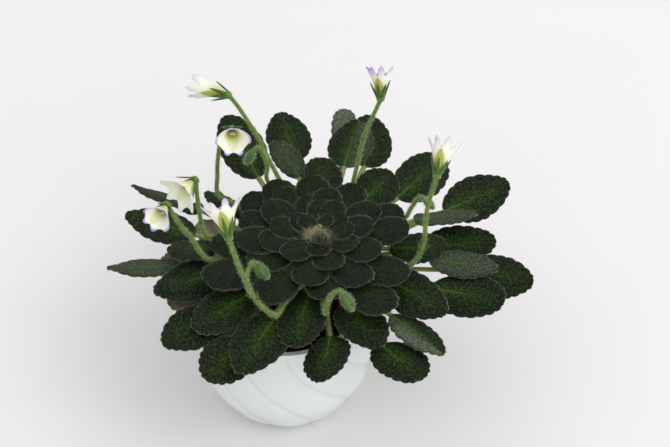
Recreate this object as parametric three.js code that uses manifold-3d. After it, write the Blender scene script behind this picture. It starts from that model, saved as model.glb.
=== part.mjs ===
// A rosette house plant (Petrocosmea rosettifolia) in flower, growing in a small twisted white pot.
// Millimetres, +Z up. The origin is the middle of the pot's flat foot.

import * as THREE from 'three';
import { mergeVertices } from 'three/addons/utils/BufferGeometryUtils.js';
import Module from 'manifold-3d';

const wasm = await Module();
wasm.setup();

const RADIAN = Math.PI / 180;
const CLEARANCE = 0.3;

// The pot: a rounded cup whose wall is pressed into panels that twist about its axis.
const POT_HEIGHT = 45;
const POT_WALL = 1.8;
const POT_FLOOR = 3;
const POT_PANELS = 10;
const POT_TWIST = 58 * RADIAN;
const POT_PHASE = 6 * RADIAN;
const POT_GROOVE = 0.5;
const POT_OUTLINE = [
  [0, 21.7], [3, 25.1], [8, 28.1], [14, 31], [22, 32.2], [30, 31.7], [38, 30.7], [POT_HEIGHT, 29.5],
];

// The soil fills the pot to a few millimetres under its rim.
const SOIL_LEVEL = 40;
const POT_RADIUS_AT_SOIL = 30.2;
const SOIL_GAP = 1.05;
const SOIL_RELIEF = 0.7;
const HOLE_DEPTH = 16;

// The stem leans from the soil to the crown, the point that all the leaves fan out from.
const CROWN_X = 12.4;
const CROWN_Y = 13.5;
const CROWN_Z = 66;
const STEM_RADIUS = 6;
const STEM_FOOT = [9.4, 10];
const STEM_SIDES = 14;

// The rosette is a shallow bowl: a leaf climbs from the stem to its tip, a longer leaf starts lower,
// and the whole plane leans down towards the front.
const LEAF_CLIMB = 0.16;
const ROSETTE_TILT = 0.08;
const OUTER_DROP = 4.4;
const STALK_DROP = 2.75;
const BLADE_THICKNESS = 0.7;
const BLADE_CAMBER = 0.5;
const SCALLOP_DEPTH = 0.35;
const PETIOLE_WIDTH = 1.9;
const PETIOLE_THICKNESS = 1.5;
const OUTER_STEPS = 12;
const OLD_STEPS = 6;

// Outer leaves, each a piece of its own:
// azimuth in degrees, reach from the crown, blade length, blade width, lift, droop of the tip, roll,
// how far the blade bends aside for each millimetre of its length, and how much narrower its tip is.
const OUTER_LEAVES = {
  leaf_01: [154, 77, 28, 15, -2, 0, 33, 0.14, 0.6],
  leaf_02: [171, 73, 27, 18, -0.5, 0.5, 3, -0.08, 0.5],
  leaf_03: [189, 77, 26, 15, -1, 0, 19, 0.05, 0.7],
  leaf_04: [184, 55, 18, 13.5, 1, 0.5, 14, 0.11, 0.1],
  leaf_05: [198, 63, 27, 18.5, 0, 0.5, -3, 0.22, 0.5],
  leaf_06: [222, 71, 26, 17.5, -1, 2.5, -13, -0.03, 0.4],
  leaf_07: [224, 60, 28, 17, 1, 2.5, -11, 0.02, 0.4],
  leaf_08: [240, 70, 21, 18.5, -3, 4.5, -12, -0.14, 0.3],
  leaf_09: [246, 65, 29, 20, 0.3, 4, -3, 0, 0.5],
  leaf_10: [262, 50, 29, 17, 1, 3, 5, -0.03, 0.2],
  leaf_11: [276, 60, 19, 17, -3, 3.5, 13, -0.23, 0.3],
  leaf_12: [291, 53, 24, 18, 0.3, 3, -2, 0.07, 0.3],
  leaf_13: [296, 69, 20, 17, -3, 3.5, 6, 0.28, 0.2],
  leaf_14: [308, 68, 26, 12, 0.3, 2, -2, 0.06, 0.4],
  leaf_15: [327, 57, 31, 18.5, 1.5, 1.5, 8, -0.18, 0.4],
  leaf_16: [334, 72, 28, 17.5, 0, 0.5, 15, 0.06, 0.1],
  leaf_17: [349, 79, 26, 18, -1, 0.5, 12, -0.17, 0.3],
  leaf_18: [348, 66, 25, 12.5, 2.4, 0, 4, -0.12, 0.4],
  leaf_19: [3, 65, 28, 17, -2, 0.5, 12, -0.06, 0.3],
  leaf_20: [354, 46, 20, 14.5, 1.3, 0.5, 2, 0.02, 0],
  leaf_21: [23, 78, 27, 19, -1, 0, 15, 0, 0.4],
  leaf_22: [18, 59, 22, 13, 1.8, 0, -21, -0.3, 0.3],
  leaf_23: [41, 64, 25, 19.5, 0, 0, 3, 0.08, 0],
  leaf_24: [53, 44, 17, 16, 0.8, 0, 15, -0.08, 0.2],
  leaf_25: [68, 70, 24, 20, 0, 0, 3, 0.24, 0.3],
  leaf_26: [77, 65, 23, 18, 1, 0, -4, 0, 0.4],
  leaf_27: [79, 73, 22, 10.5, -1, 0, 1, 0.18, -0.1],
  leaf_28: [85, 42, 18, 14.5, 1, 0, 5, 0.13, 0],
  leaf_29: [101, 72, 24, 18, -1, 0, -3, 0.08, 0.4],
  leaf_30: [102, 55, 19, 12.5, 0, 0, 10, 0.26, 0.2],
  leaf_31: [120, 80, 33, 18.5, -2.4, 0.5, -4, -0.09, 0.3],
  leaf_32: [150, 49, 20, 13, 0, 0, 25, 0, 0.2],
};

// Older leaves, half dried, that lie lowest and show only in the gaps between the others: the same measures.
const OLD_LEAVES = {
  leaf_33: [184, 58, 24, 16, -6.7, 0.5, 0, 0, 0.2],
  leaf_34: [161, 49, 20, 14, -8, 0.5, 0, 0, 0.2],
  leaf_35: [205, 59, 25, 17, -6.3, 0.5, 0, 0, 0.2],
  leaf_36: [229, 55, 22, 15, -6.8, 0.5, 0, 0, 0.2],
};

// Inner leaves of the rosette, grown as one body with the stem: azimuth, reach and lift.
// Their size follows from their reach, because a leaf grows as it moves out.
const INNER_LEAVES = [
  [212, 47, 0.2], [302, 46, 0], [240, 39, -0.2], [323, 39, 0], [189, 39, -0.9], [20, 33, -0.8],
  [145, 34, -1.4], [2, 33, 0.6], [276, 33, -0.6], [125, 32, -0.4], [302, 31, 0.2], [189, 30, 0.3],
  [166, 30, -0.8], [213, 29, -0.8], [96, 28, 0.8], [59, 28, -0.1], [262, 27, 0.1], [124, 26, 0],
  [332, 25, 0.6], [29, 25, 0.5], [146, 24, 0.6], [194, 22, 0.3], [79, 21, 1.3], [9, 20, 0.9],
  [285, 20, 0.3], [103, 19, 0.2], [170, 18, 0.7], [229, 18, 0.5], [329, 16, 0.9], [60, 15, 1.9],
  [87, 15, 1.2], [358, 13, 1.3], [270, 13, 0.6], [35, 12, 1.2], [144, 12, 0.7],
];
const INNER_LENGTH = 26;
const INNER_LENGTH_GROWTH = 28;
const INNER_WIDTH = 17.5;
const INNER_WIDTH_GROWTH = 19;
const HEART_LEAVES = 4;
const GOLDEN_ANGLE = 137.5;

// Flowers: the azimuth that the stalk leaves the stem at, its route above the leaves, the way the flower
// faces, the radius its lobes spread to, how much shorter its upper lobe is, the angle about its own axis
// that its lower lip points to, its size, and how far along the stalk its pair of bracts sits, or 0 for
// none.
const STALK_RADIUS = 0.85;
const STALK_TURN = 7;
const STALK_STEPS = 9;
const FLOWERS = {
  flower_1: {
    from: 108,
    route: [[-2.5, 43, 65.5], [-6.5, 46.5, 72.5], [-10, 50, 79], [-17.5, 55, 90.5], [-21, 56.5, 95]],
    face: [-0.84, 0.53, -0.09], spread: 5.3, lip: 0.22, turn: -123, size: 1.2, bracts: 0,
  },
  flower_2: {
    from: 150,
    route: [[-25, 34.5, 65], [-25, 34, 75], [-24.5, 34, 82], [-23, 34, 90], [-19, 36, 95]],
    face: [0.12, -0.94, 0.28], spread: 6.8, lip: 0.55, turn: -85, size: 0.7, bracts: 0.5,
  },
  flower_3: {
    from: 174,
    route: [[-28.5, 14, 63], [-30, 14.5, 68.5], [-30.5, 15, 74.5], [-31, 16, 81], [-31, 16.5, 87.5]],
    face: [-0.66, -0.72, -0.21], spread: 8.7, lip: 0.5, turn: -161, size: 0.76, bracts: 0,
  },
  flower_4: {
    from: 197,
    route: [[-27, 2.5, 61.5], [-29.5, 1.5, 66], [-32.5, 1.5, 73], [-36, 0.5, 80], [-40, 2, 88]],
    face: [-0.3, -0.92, 0.05], spread: 5.7, lip: 0.5, turn: -152, size: 0.63, bracts: 0,
  },
  flower_5: {
    from: 252,
    route: [[-2, -24.5, 60], [-6.5, -27.5, 67], [-9, -28, 72], [-13.5, -28.5, 86], [-16.5, -28.5, 99]],
    face: [-0.23, 0.69, 0.68], spread: 6.8, lip: 0.1, turn: -90, size: 0.95, bracts: 0.62,
  },
  flower_6: {
    from: 65,
    route: [[25, 41.5, 64.5], [26, 42.5, 69], [29, 45.5, 83.5], [30.5, 46, 88], [35, 47, 100]],
    face: [-0.02, 0.53, 0.85], spread: 5.2, lip: 0.3, turn: -108, size: 0.89, bracts: 0,
  },
  flower_7: {
    from: 338,
    route: [[45, 0, 61], [48.5, -0.5, 67], [50, 0.5, 72.5], [50.5, 3, 83.5], [53.5, 5, 98]],
    face: [0.23, 0.73, 0.65], spread: 5.9, lip: 0.1, turn: -107, size: 0.99, bracts: 0.55,
  },
};
const SEPALS = 5;
const SEPAL_LENGTH = 6.2;
const LOBES = 5;
const LOBE_START = 0.7;
const COROLLA_START = 1.7;
const COROLLA_LENGTH = 12.4;
const COROLLA_FOOT = 1.2;
const COROLLA_FLARE = 1.15;
const CROWDING = 0.44;
const LIP_FALL = 3;
const HOODING = 0.7;

// Buds: the route of the hooked stalk and the bud's size; the bud hangs from its end.
const BUDS = {
  bud_1: {
    from: 130,
    route: [[-7.4, 43.5, 65.7], [-7, 44.7, 71], [-10.5, 44.7, 79.8], [-12.2, 44.1, 77.7]],
    size: 1,
  },
  bud_2: {
    from: 228,
    route: [[-11, -13.5, 60], [-12.6, -12, 66], [-10.2, -9.2, 71.3], [-8.9, -9.6, 70]],
    size: 1.15,
  },
  bud_3: {
    from: 276,
    route: [
      [15, -23, 59.5], [15.8, -22, 63.5], [17.2, -22.2, 67.6], [20.2, -21.7, 69.3], [21.4, -22.2, 67.6],
    ],
    size: 1.25,
  },
  bud_4: {
    from: 16,
    route: [[44, 24, 62.5], [46.5, 23.5, 68.5], [49.8, 22.6, 74.4], [51.2, 22.2, 73.2]],
    size: 0.9,
  },
};
const BUD_LENGTH = 6;
const BUD_RADIUS = 1.75;

const finishes = {
  glaze: { color: 0xe4eae9, roughness: 0.25, metalness: 0 },
  soil: { color: 0x3a1a1c, roughness: 0.95, metalness: 0 },
  leaf: { color: 0x263a24, roughness: 0.7, metalness: 0 },
  dryLeaf: { color: 0x7d6e5e, roughness: 0.8, metalness: 0 },
  stalk: { color: 0x7fa53c, roughness: 0.6, metalness: 0 },
  petal: { color: 0xf4f3e6, roughness: 0.55, metalness: 0 },
};

// Gives a repeatable draw from 0 to 1 for a piece's number and what is drawn.
function draw(number, kind) {
  const value = Math.sin(number * 12.9898 + kind * 78.233) * 43758.5453;
  return value - Math.floor(value);
}

// Closes a stack of rings of points into one body; flipped sides take the other diagonal.
function loft(rings, flipped = []) {
  const count = rings[0].length;
  const index = [];
  for (let row = 0; row < rings.length - 1; row++) {
    for (let side = 0; side < count; side++) {
      const a = row * count + side;
      const b = row * count + (side + 1) % count;
      const c = a + count;
      const d = b + count;
      if (flipped.includes(side)) {
        index.push(a, b, c, b, d, c);
      } else {
        index.push(a, b, d, a, d, c);
      }
    }
  }
  const last = (rings.length - 1) * count;
  for (let side = 1; side < count - 1; side++) {
    index.push(0, side + 1, side, last, last + side, last + side + 1);
  }
  const geometry = new THREE.BufferGeometry();
  geometry.setAttribute('position', new THREE.Float32BufferAttribute(rings.flat(2), 3));
  geometry.setIndex(index);
  return geometry;
}

function toSolid(geometry) {
  const bare = geometry.clone();
  bare.deleteAttribute('normal');
  bare.deleteAttribute('uv');
  const merged = mergeVertices(bare, 1e-4);
  return new wasm.Manifold(new wasm.Mesh({
    numProp: 3,
    vertProperties: new Float32Array(merged.attributes.position.array),
    triVerts: new Uint32Array(merged.index.array),
  }));
}

function toGeometry(solid) {
  const mesh = solid.getMesh();
  const geometry = new THREE.BufferGeometry();
  geometry.setAttribute('position', new THREE.BufferAttribute(mesh.vertProperties, 3));
  geometry.setIndex(new THREE.BufferAttribute(mesh.triVerts, 1));
  return geometry;
}

// Joins bodies that grow together, and fills any small hollow that the joining seals.
function fuse(geometries) {
  const pieces = wasm.Manifold.union(geometries.map(toSolid)).decompose();
  pieces.sort((a, b) => b.volume() - a.volume());
  return toGeometry(pieces[0]);
}

function addMesh(group, name, geometry, finish) {
  const mesh = new THREE.Mesh(geometry, new THREE.MeshStandardMaterial(finishes[finish]));
  mesh.name = name;
  group.add(mesh);
}

// The height of a leaf's midline at a distance from the crown, before the plane's tilt.
function leafHeight(distance, leaf) {
  const blade = Math.max(0, 1 - (leaf.reach - distance) / leaf.length);
  return CROWN_Z + leaf.lift + LEAF_CLIMB * (distance - leaf.reach) - leaf.droop * blade * blade;
}

// Turns a place on a leaf, along, across and above its midline, into a place on the plant.
function leafPoint(leaf, along, across, above, roll) {
  const bent = leaf.lean * Math.max(0, along - leaf.reach + leaf.length);
  const side = across * Math.cos(roll) - above * Math.sin(roll) + bent;
  const rise = across * Math.sin(roll) + above * Math.cos(roll);
  const angle = leaf.azimuth * RADIAN;
  const x = along * Math.cos(angle) - side * Math.sin(angle);
  const y = along * Math.sin(angle) + side * Math.cos(angle);
  return [CROWN_X + x, CROWN_Y + y, leafHeight(along, leaf) + rise + ROSETTE_TILT * y];
}

// A leaf: a flattened petiole that widens into a thin blade with a scalloped edge.
function leafBody(leaf) {
  const rings = [];
  const base = leaf.reach - leaf.length;
  const addRing = (along, half, edge, middle, roll) => {
    const sag = BLADE_CAMBER * (half / (leaf.width / 2)) ** 2;
    rings.push([
      leafPoint(leaf, along, half, -sag - edge, roll),
      leafPoint(leaf, along, half, -sag + edge, roll),
      leafPoint(leaf, along, 0, middle, roll),
      leafPoint(leaf, along, -half, -sag + edge, roll),
      leafPoint(leaf, along, -half, -sag - edge, roll),
      leafPoint(leaf, along, 0, -middle, roll),
    ]);
  };
  for (let step = 0; step < leaf.petioleSteps; step++) {
    const along = THREE.MathUtils.lerp(leaf.root, base, step / leaf.petioleSteps);
    addRing(along, PETIOLE_WIDTH / 2, PETIOLE_THICKNESS / 4, PETIOLE_THICKNESS / 2, 0);
  }
  for (let step = 0; step <= leaf.bladeSteps; step++) {
    const turn = Math.PI * (step + 0.35) / (leaf.bladeSteps + 0.55);
    const rise = (1 - Math.cos(turn)) / 2;
    const share = rise ** 0.9;
    const scallop = (step % 2 ? 1 : -1) * leaf.scallop * Math.sin(turn);
    const plain = leaf.width / 2 * Math.sin(turn) ** 0.85 * (1 - leaf.point * rise ** 3);
    const half = Math.max(plain + scallop, 0.4);
    const roll = leaf.roll * RADIAN * Math.min(1, share * 4);
    const thick = THREE.MathUtils.lerp(PETIOLE_THICKNESS, BLADE_THICKNESS, Math.min(1, share * 5)) / 2;
    addRing(base + leaf.length * share, half, BLADE_THICKNESS / 2, thick, roll);
  }
  return loft(rings, [2, 5]);
}

function outerLeaf([azimuth, reach, length, width, lift, droop, roll, lean, point], bladeSteps) {
  return leafBody({
    azimuth, reach, length, width, droop, roll, lean, point,
    lift: lift - OUTER_DROP,
    root: STEM_RADIUS + CLEARANCE,
    petioleSteps: 1,
    bladeSteps,
    scallop: SCALLOP_DEPTH,
  });
}

function innerLeaf([azimuth, reach, lift]) {
  const length = INNER_LENGTH * (1 - Math.exp(-reach / INNER_LENGTH_GROWTH));
  return leafBody({
    azimuth, reach, lift, length,
    width: INNER_WIDTH * (1 - Math.exp(-reach / INNER_WIDTH_GROWTH)),
    droop: 0.3,
    roll: 0,
    lean: 0,
    point: 0,
    root: STEM_RADIUS / 4,
    petioleSteps: reach - length > STEM_RADIUS ? 1 : 0,
    bladeSteps: reach > 16 ? 8 : 5,
    scallop: SCALLOP_DEPTH * 0.8,
  });
}

// The short woody stem with the inner leaves that grow from its top.
function rosetteHeart() {
  const top = CROWN_Z - 6;
  const levels = [
    [SOIL_LEVEL - HOLE_DEPTH + CLEARANCE, 0, 1], [SOIL_LEVEL + 1.5, 0, 1], [SOIL_LEVEL + 6, 1, 1],
    [top, 1, 1], [CROWN_Z + 0.5, 1, 0.4],
  ];
  const rings = levels.map(([z, share, width]) => {
    const x = THREE.MathUtils.lerp(STEM_FOOT[0], CROWN_X, share);
    const y = THREE.MathUtils.lerp(STEM_FOOT[1], CROWN_Y, share);
    return Array.from({ length: STEM_SIDES }, (_, side) => {
      const angle = side / STEM_SIDES * 2 * Math.PI;
      return [x + STEM_RADIUS * width * Math.cos(angle), y + STEM_RADIUS * width * Math.sin(angle), z];
    });
  });
  const bodies = [loft(rings), ...INNER_LEAVES.map(innerLeaf)];
  for (let number = 0; number < HEART_LEAVES; number++) {
    bodies.push(innerLeaf([number * GOLDEN_ANGLE, 10 - number, 1 + number * 0.4]));
  }
  return fuse(bodies);
}

function flatRing(radius, z) {
  return Array.from({ length: POT_PANELS * 2 }, (_, step) => {
    const angle = step / POT_PANELS * Math.PI;
    return [radius * Math.cos(angle), radius * Math.sin(angle), z];
  });
}

// A ring of the pot: two points for each panel, of which one lies in the groove between panels. The ring
// is turned as the swirl is at a height.
function potRing(radius, z, groove, swirlHeight) {
  const swirl = POT_PHASE - POT_TWIST * THREE.MathUtils.smoothstep(swirlHeight, 0, POT_HEIGHT);
  const points = [];
  for (let step = 0; step < POT_PANELS * 2; step++) {
    const angle = step / POT_PANELS * Math.PI + swirl;
    const reach = radius - (step % 2 ? 0 : groove);
    points.push([reach * Math.cos(angle), reach * Math.sin(angle), z]);
  }
  return points;
}

// The inside of the wall is plain, and turned as the rim is.
function pot() {
  const outside = POT_OUTLINE.map(([z, radius]) => potRing(radius, z, POT_GROOVE, z));
  const inside = POT_OUTLINE.filter((_, row) => row % 2).slice(1).reverse();
  const hollow = inside.map(([z, radius]) => potRing(radius - POT_WALL, z, 0, POT_HEIGHT));
  const floor = potRing(POT_OUTLINE[1][1] - POT_WALL, POT_FLOOR, 0, POT_HEIGHT);
  return loft([...outside, ...hollow, floor]);
}

// The soil, with a bumpy top and a plain round hole for the stem.
function soil() {
  const wall = POT_WALL + SOIL_GAP;
  const outline = [
    [POT_FLOOR + CLEARANCE, POT_OUTLINE[1][1]], POT_OUTLINE[3], POT_OUTLINE[5],
    [SOIL_LEVEL, POT_RADIUS_AT_SOIL],
  ];
  const rings = outline.map(([z, radius]) => flatRing(radius - wall, z));
  const top = outline.at(-1)[1] - wall;
  for (const [ring, share] of [0.97, 0.75, 0.45].entries()) {
    rings.push(flatRing(top * share, SOIL_LEVEL).map(([x, y, z], step) => {
      return [x, y, z + (draw(step, ring) - 0.3) * 2 * SOIL_RELIEF];
    }));
  }
  const radius = STEM_RADIUS + CLEARANCE * 2;
  const hole = new THREE.CylinderGeometry(radius, radius, HOLE_DEPTH * 2, STEM_SIDES);
  hole.rotateX(Math.PI / 2);
  hole.translate(STEM_FOOT[0], STEM_FOOT[1], SOIL_LEVEL);
  return toGeometry(toSolid(loft(rings)).subtract(toSolid(hole)));
}

// A round stalk that leaves the stem between the outer and the inner leaves and then turns up.
function stalkCurve(from, route) {
  const [x, y] = route[0];
  const reach = Math.hypot(x - CROWN_X, y - CROWN_Y);
  const start = new THREE.Vector2(Math.cos(from * RADIAN), Math.sin(from * RADIAN));
  const end = new THREE.Vector2(x - CROWN_X, y - CROWN_Y).normalize();
  const distances = [STEM_RADIUS + CLEARANCE + STALK_RADIUS * 0.4, reach * 0.55, reach - STALK_TURN];
  const under = distances.map((distance, step) => {
    const way = start.clone().lerp(end, step / 2).normalize().multiplyScalar(distance);
    const height = CROWN_Z - STALK_DROP + LEAF_CLIMB * (distance - 43) + ROSETTE_TILT * way.y;
    return new THREE.Vector3(CROWN_X + way.x, CROWN_Y + way.y, height);
  });
  return new THREE.CatmullRomCurve3([...under, ...route.map((point) => new THREE.Vector3(...point))]);
}

function stalk(curve, steps) {
  const section = new THREE.Shape(Array.from({ length: 6 }, (_, side) => {
    const angle = side * Math.PI / 3;
    return new THREE.Vector2(STALK_RADIUS * Math.cos(angle), STALK_RADIUS * Math.sin(angle));
  }));
  return new THREE.ExtrudeGeometry(section, { steps, extrudePath: curve, bevelEnabled: false });
}

// Stands a piece made along +Z at a place, turned to face a way.
function place(geometry, [x, y, z], direction) {
  const up = new THREE.Vector3(0, 0, 1);
  const turn = new THREE.Quaternion().setFromUnitVectors(up, direction.clone().normalize());
  return geometry.applyQuaternion(turn).translate(x, y, z);
}

// A narrow green leaflet that leans out from an axis along +Z: a sepal or a bract.
function leaflet(root, reach, height, half) {
  const thick = 0.35;
  const rings = [[root, 0.2, half], [reach, height, half * 0.6]].map(([radius, z, side]) => [
    [radius + thick, -side, z],
    [radius + thick, side, z],
    [radius - thick, side, z + 0.2],
    [radius - thick, -side, z + 0.2],
  ]);
  return loft(rings);
}

// A body turned about +Z from the radii and heights of its outline.
function turned(outline, sides) {
  const points = outline.map((point) => new THREE.Vector2(...point));
  return new THREE.LatheGeometry(points, sides).rotateX(Math.PI / 2);
}

// Sepals and lobes start evenly round the flower's axis, and crowd towards the lower lip.
function crowded(angle) {
  return angle - CROWDING * Math.sin(angle);
}

// The green cup under a flower: a small receptacle with narrow sepals standing round it.
function calyx({ spread, turn, size }) {
  const parts = [turned([[0, -0.6], [1, -0.4], [1.7, 0.9], [0, 1]], 6)];
  for (let number = 0; number < SEPALS; number++) {
    const around = crowded(number / SEPALS * 2 * Math.PI) + turn * RADIAN;
    const reach = 1.9 + 0.38 * spread / Math.sqrt(size);
    parts.push(leaflet(1.3, reach, SEPAL_LENGTH, 0.65).rotateZ(around));
  }
  return parts;
}

function bracts(curve, share) {
  return [0, Math.PI].map((turn) => {
    const bract = leaflet(0.5, 2, 4, 0.6).rotateZ(turn);
    return place(bract, curve.getPointAt(share).toArray(), curve.getTangentAt(share));
  });
}

// The corolla: a funnel that parts into five rounded lobes. Two pairs crowd about the lower lip, and the
// fifth lobe, opposite them, is shorter and bends in like a hood. A ring is given by its share of the way
// to the edge, and lies further in on the inner face.
function corolla({ spread, lip, turn, size }) {
  const samples = LOBES * 3;
  const bend = 0.25 * (spread / COROLLA_LENGTH) ** 2;
  const ring = (share, lobed, inset) => Array.from({ length: samples }, (_, step) => {
    const even = step / samples * 2 * Math.PI;
    const angle = crowded(even);
    const lobe = Math.abs(Math.sin(even * LOBES / 2)) ** 0.6;
    const hood = lip * ((1 - Math.cos(angle)) / 2) ** LIP_FALL;
    const along = share * (1 - hood) * (lobed ? LOBE_START + (1 - LOBE_START) * lobe : 1);
    const flare = (spread - COROLLA_FOOT) * along ** COROLLA_FLARE;
    const radius = (COROLLA_FOOT + flare) * (1 - HOODING * hood) - inset;
    const height = COROLLA_START + COROLLA_LENGTH * size * (along - bend * along ** 2) + inset;
    const around = angle + turn * RADIAN;
    return [radius * Math.cos(around), radius * Math.sin(around), height];
  });
  return loft([
    ring(0, false, 0), ring(0.3, false, 0), ring(0.62, false, 0), ring(1, true, 0),
    ring(0.97, true, 0.6), ring(0.6, false, 0.6), ring(0.3, false, 0.6),
  ]);
}

// A bud: five sepals closed over each other, seen as one smooth egg.
function budBody(size) {
  const outline = [[0, -0.8], [0.8, 0.2], [1, 2], [0.7, BUD_LENGTH - 0.6], [0, BUD_LENGTH]];
  return turned(outline.map(([share, height]) => [share * BUD_RADIUS * size, height * size]), 8);
}

const plant = new THREE.Group();
addMesh(plant, 'pot', pot(), 'glaze');
addMesh(plant, 'soil', soil(), 'soil');
addMesh(plant, 'rosette_heart', rosetteHeart(), 'leaf');
for (const [name, row] of Object.entries(OUTER_LEAVES)) {
  addMesh(plant, name, outerLeaf(row, OUTER_STEPS), 'leaf');
}
for (const [name, row] of Object.entries(OLD_LEAVES)) {
  addMesh(plant, name, outerLeaf(row, OLD_STEPS), 'dryLeaf');
}
for (const [name, flower] of Object.entries(FLOWERS)) {
  const direction = new THREE.Vector3(...flower.face);
  const seat = flower.route.at(-1);
  const curve = stalkCurve(flower.from, flower.route);
  const cup = calyx(flower).map((part) => place(part, seat, direction));
  const pair = flower.bracts > 0 ? bracts(curve, flower.bracts) : [];
  const green = fuse([stalk(curve, STALK_STEPS), ...pair, ...cup]);
  addMesh(plant, `${name}_stalk`, green, 'stalk');
  addMesh(plant, `${name}_corolla`, place(corolla(flower), seat, direction), 'petal');
}
for (const [name, { from, route, size }] of Object.entries(BUDS)) {
  const tip = route.at(-1);
  const before = route.at(-2);
  const direction = new THREE.Vector3(tip[0] - before[0], tip[1] - before[1], tip[2] - before[2]);
  const green = fuse([stalk(stalkCurve(from, route), STALK_STEPS), place(budBody(size), tip, direction)]);
  addMesh(plant, name, green, 'stalk');
}

export default plant;
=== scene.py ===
# %% [markdown]
# # A rosette plant in flower, in a small twisted pot
# The plant is a shallow bowl of dark, hairy, scalloped leaves with pale flowers on green stalks. Its
# construction model is loaded first as a fixed frame. It holds every piece at its real size and place,
# so that this script only has to give each piece a finer form and its finish. All lengths are in metres.

# %% Load the frame
import math
from types import SimpleNamespace

import bpy
import numpy as np
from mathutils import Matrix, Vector


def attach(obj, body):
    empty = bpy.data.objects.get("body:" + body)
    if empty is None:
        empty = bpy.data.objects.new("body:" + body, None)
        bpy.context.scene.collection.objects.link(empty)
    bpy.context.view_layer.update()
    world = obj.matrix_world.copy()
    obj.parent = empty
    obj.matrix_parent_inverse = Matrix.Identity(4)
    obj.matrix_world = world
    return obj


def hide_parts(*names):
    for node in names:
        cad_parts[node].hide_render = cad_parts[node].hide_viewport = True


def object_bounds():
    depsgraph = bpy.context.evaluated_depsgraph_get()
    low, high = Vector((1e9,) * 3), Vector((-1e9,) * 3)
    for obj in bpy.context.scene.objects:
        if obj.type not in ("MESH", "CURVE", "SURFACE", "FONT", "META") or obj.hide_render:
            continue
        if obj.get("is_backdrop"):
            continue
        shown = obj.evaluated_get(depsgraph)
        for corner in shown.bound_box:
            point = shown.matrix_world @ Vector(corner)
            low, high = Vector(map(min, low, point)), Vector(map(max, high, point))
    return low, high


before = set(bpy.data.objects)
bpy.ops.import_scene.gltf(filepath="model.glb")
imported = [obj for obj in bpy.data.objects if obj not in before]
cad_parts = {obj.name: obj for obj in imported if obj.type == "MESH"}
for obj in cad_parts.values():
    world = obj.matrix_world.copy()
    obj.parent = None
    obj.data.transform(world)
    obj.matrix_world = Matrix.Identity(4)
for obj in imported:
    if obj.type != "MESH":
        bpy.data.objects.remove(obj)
cad_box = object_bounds()
print("nodes in the frame:", len(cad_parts))

# %% [markdown]
# The camera comes before anything is made, because it decides how fine the pieces have to be. A long
# lens from about 41 degrees above the horizon looks into the bowl of leaves and still shows the pot.

# %% Camera
CAMERA_TARGET = Vector((0.0184, 0.0, 0.081))
CAMERA_DISTANCE = 0.554
CAMERA_ELEVATION = math.radians(41)
CAMERA_LENS = 85

bpy.ops.object.camera_add(rotation=(math.pi / 2 - CAMERA_ELEVATION, 0, 0))
camera = bpy.context.object
camera.name = "camera"
camera.data.lens = CAMERA_LENS
camera.data.clip_start = 0.01
back_along_view = Vector((0, -math.cos(CAMERA_ELEVATION), math.sin(CAMERA_ELEVATION)))
camera.location = CAMERA_TARGET + CAMERA_DISTANCE * back_along_view
bpy.context.scene.camera = camera
print("camera at", tuple(round(value, 3) for value in camera.location))

# %% [markdown]
# A few small helpers serve every material. Colours are written as they are read off a screen, from 0 to
# 255, and turned into the linear values that a shader adds up. A node is made, set and linked in one
# call, so that a material below reads as a list of its steps.

# %% Helpers for materials
def paint(red, green, blue):
    linear = [(value / 255) ** 2.2 for value in (red, green, blue)]
    return (*linear, 1)


def add_node(tree, kind, values=None, links=None, **settings):
    node = tree.nodes.new(kind)
    for key, value in settings.items():
        setattr(node, key, value)
    for key, value in (values or {}).items():
        node.inputs[key].default_value = value
    for key, socket in (links or {}).items():
        tree.links.new(socket, node.inputs[key])
    return node


def calculate(tree, operation, *terms, clamp=False):
    node = add_node(tree, "ShaderNodeMath", operation=operation, use_clamp=clamp)
    for place, term in enumerate(terms):
        if isinstance(term, (int, float)):
            node.inputs[place].default_value = term
        else:
            tree.links.new(term, node.inputs[place])
    return node.outputs[0]


def blend(tree, share, first, second):
    node = add_node(tree, "ShaderNodeMix", data_type="RGBA")
    for place, term in ((0, share), (6, first), (7, second)):
        if isinstance(term, (int, float, tuple)):
            node.inputs[place].default_value = term
        else:
            tree.links.new(term, node.inputs[place])
    return node.outputs[2]


def ramp(tree, value, start, end):
    node = add_node(tree, "ShaderNodeMapRange", {"From Min": start, "From Max": end}, {"Value": value},
                    interpolation_type="SMOOTHSTEP")
    return node.outputs[0]


def new_material(name, roughness, **constants):
    material = bpy.data.materials.new(name)
    material.use_nodes = True
    shader = material.node_tree.nodes["Principled BSDF"]
    shader.inputs["Roughness"].default_value = roughness
    for key, value in constants.items():
        shader.inputs[key.replace("_", " ")].default_value = value
    return material, material.node_tree, shader


def finish_material(tree, shader, colour, height=None, depth=0.0, strength=0.5):
    tree.links.new(colour, shader.inputs["Base Color"])
    if height is not None:
        bump = add_node(tree, "ShaderNodeBump", {"Distance": depth, "Strength": strength},
                        {"Height": height})
        tree.links.new(bump.outputs["Normal"], shader.inputs["Normal"])


def fade(tree, value, start, end):
    """A ramp turned round: one before its start and zero after its end."""
    return calculate(tree, "SUBTRACT", 1.0, ramp(tree, value, start, end))


def tinge(tree, colour, mask, strength, other):
    """Blends a second colour in where a mask says so, at most as strongly as given."""
    return blend(tree, calculate(tree, "MULTIPLY", mask, strength, clamp=True), colour, other)


def painted(tree, name):
    """The value that was painted on a mesh's points under a name."""
    return add_node(tree, "ShaderNodeAttribute", attribute_name=name).outputs["Fac"]


print("a middle grey in a shader:", round(paint(128, 128, 128)[0], 3))

# %% [markdown]
# A floor and soft light come next. The floor is pale and plain. A bright even sky does most of the work, as
# in a small photographic tent. A wide lamp high at the right gives the forms a lit and a shaded side, and
# a weak one low in front lightens the shade round the pot.

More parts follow.
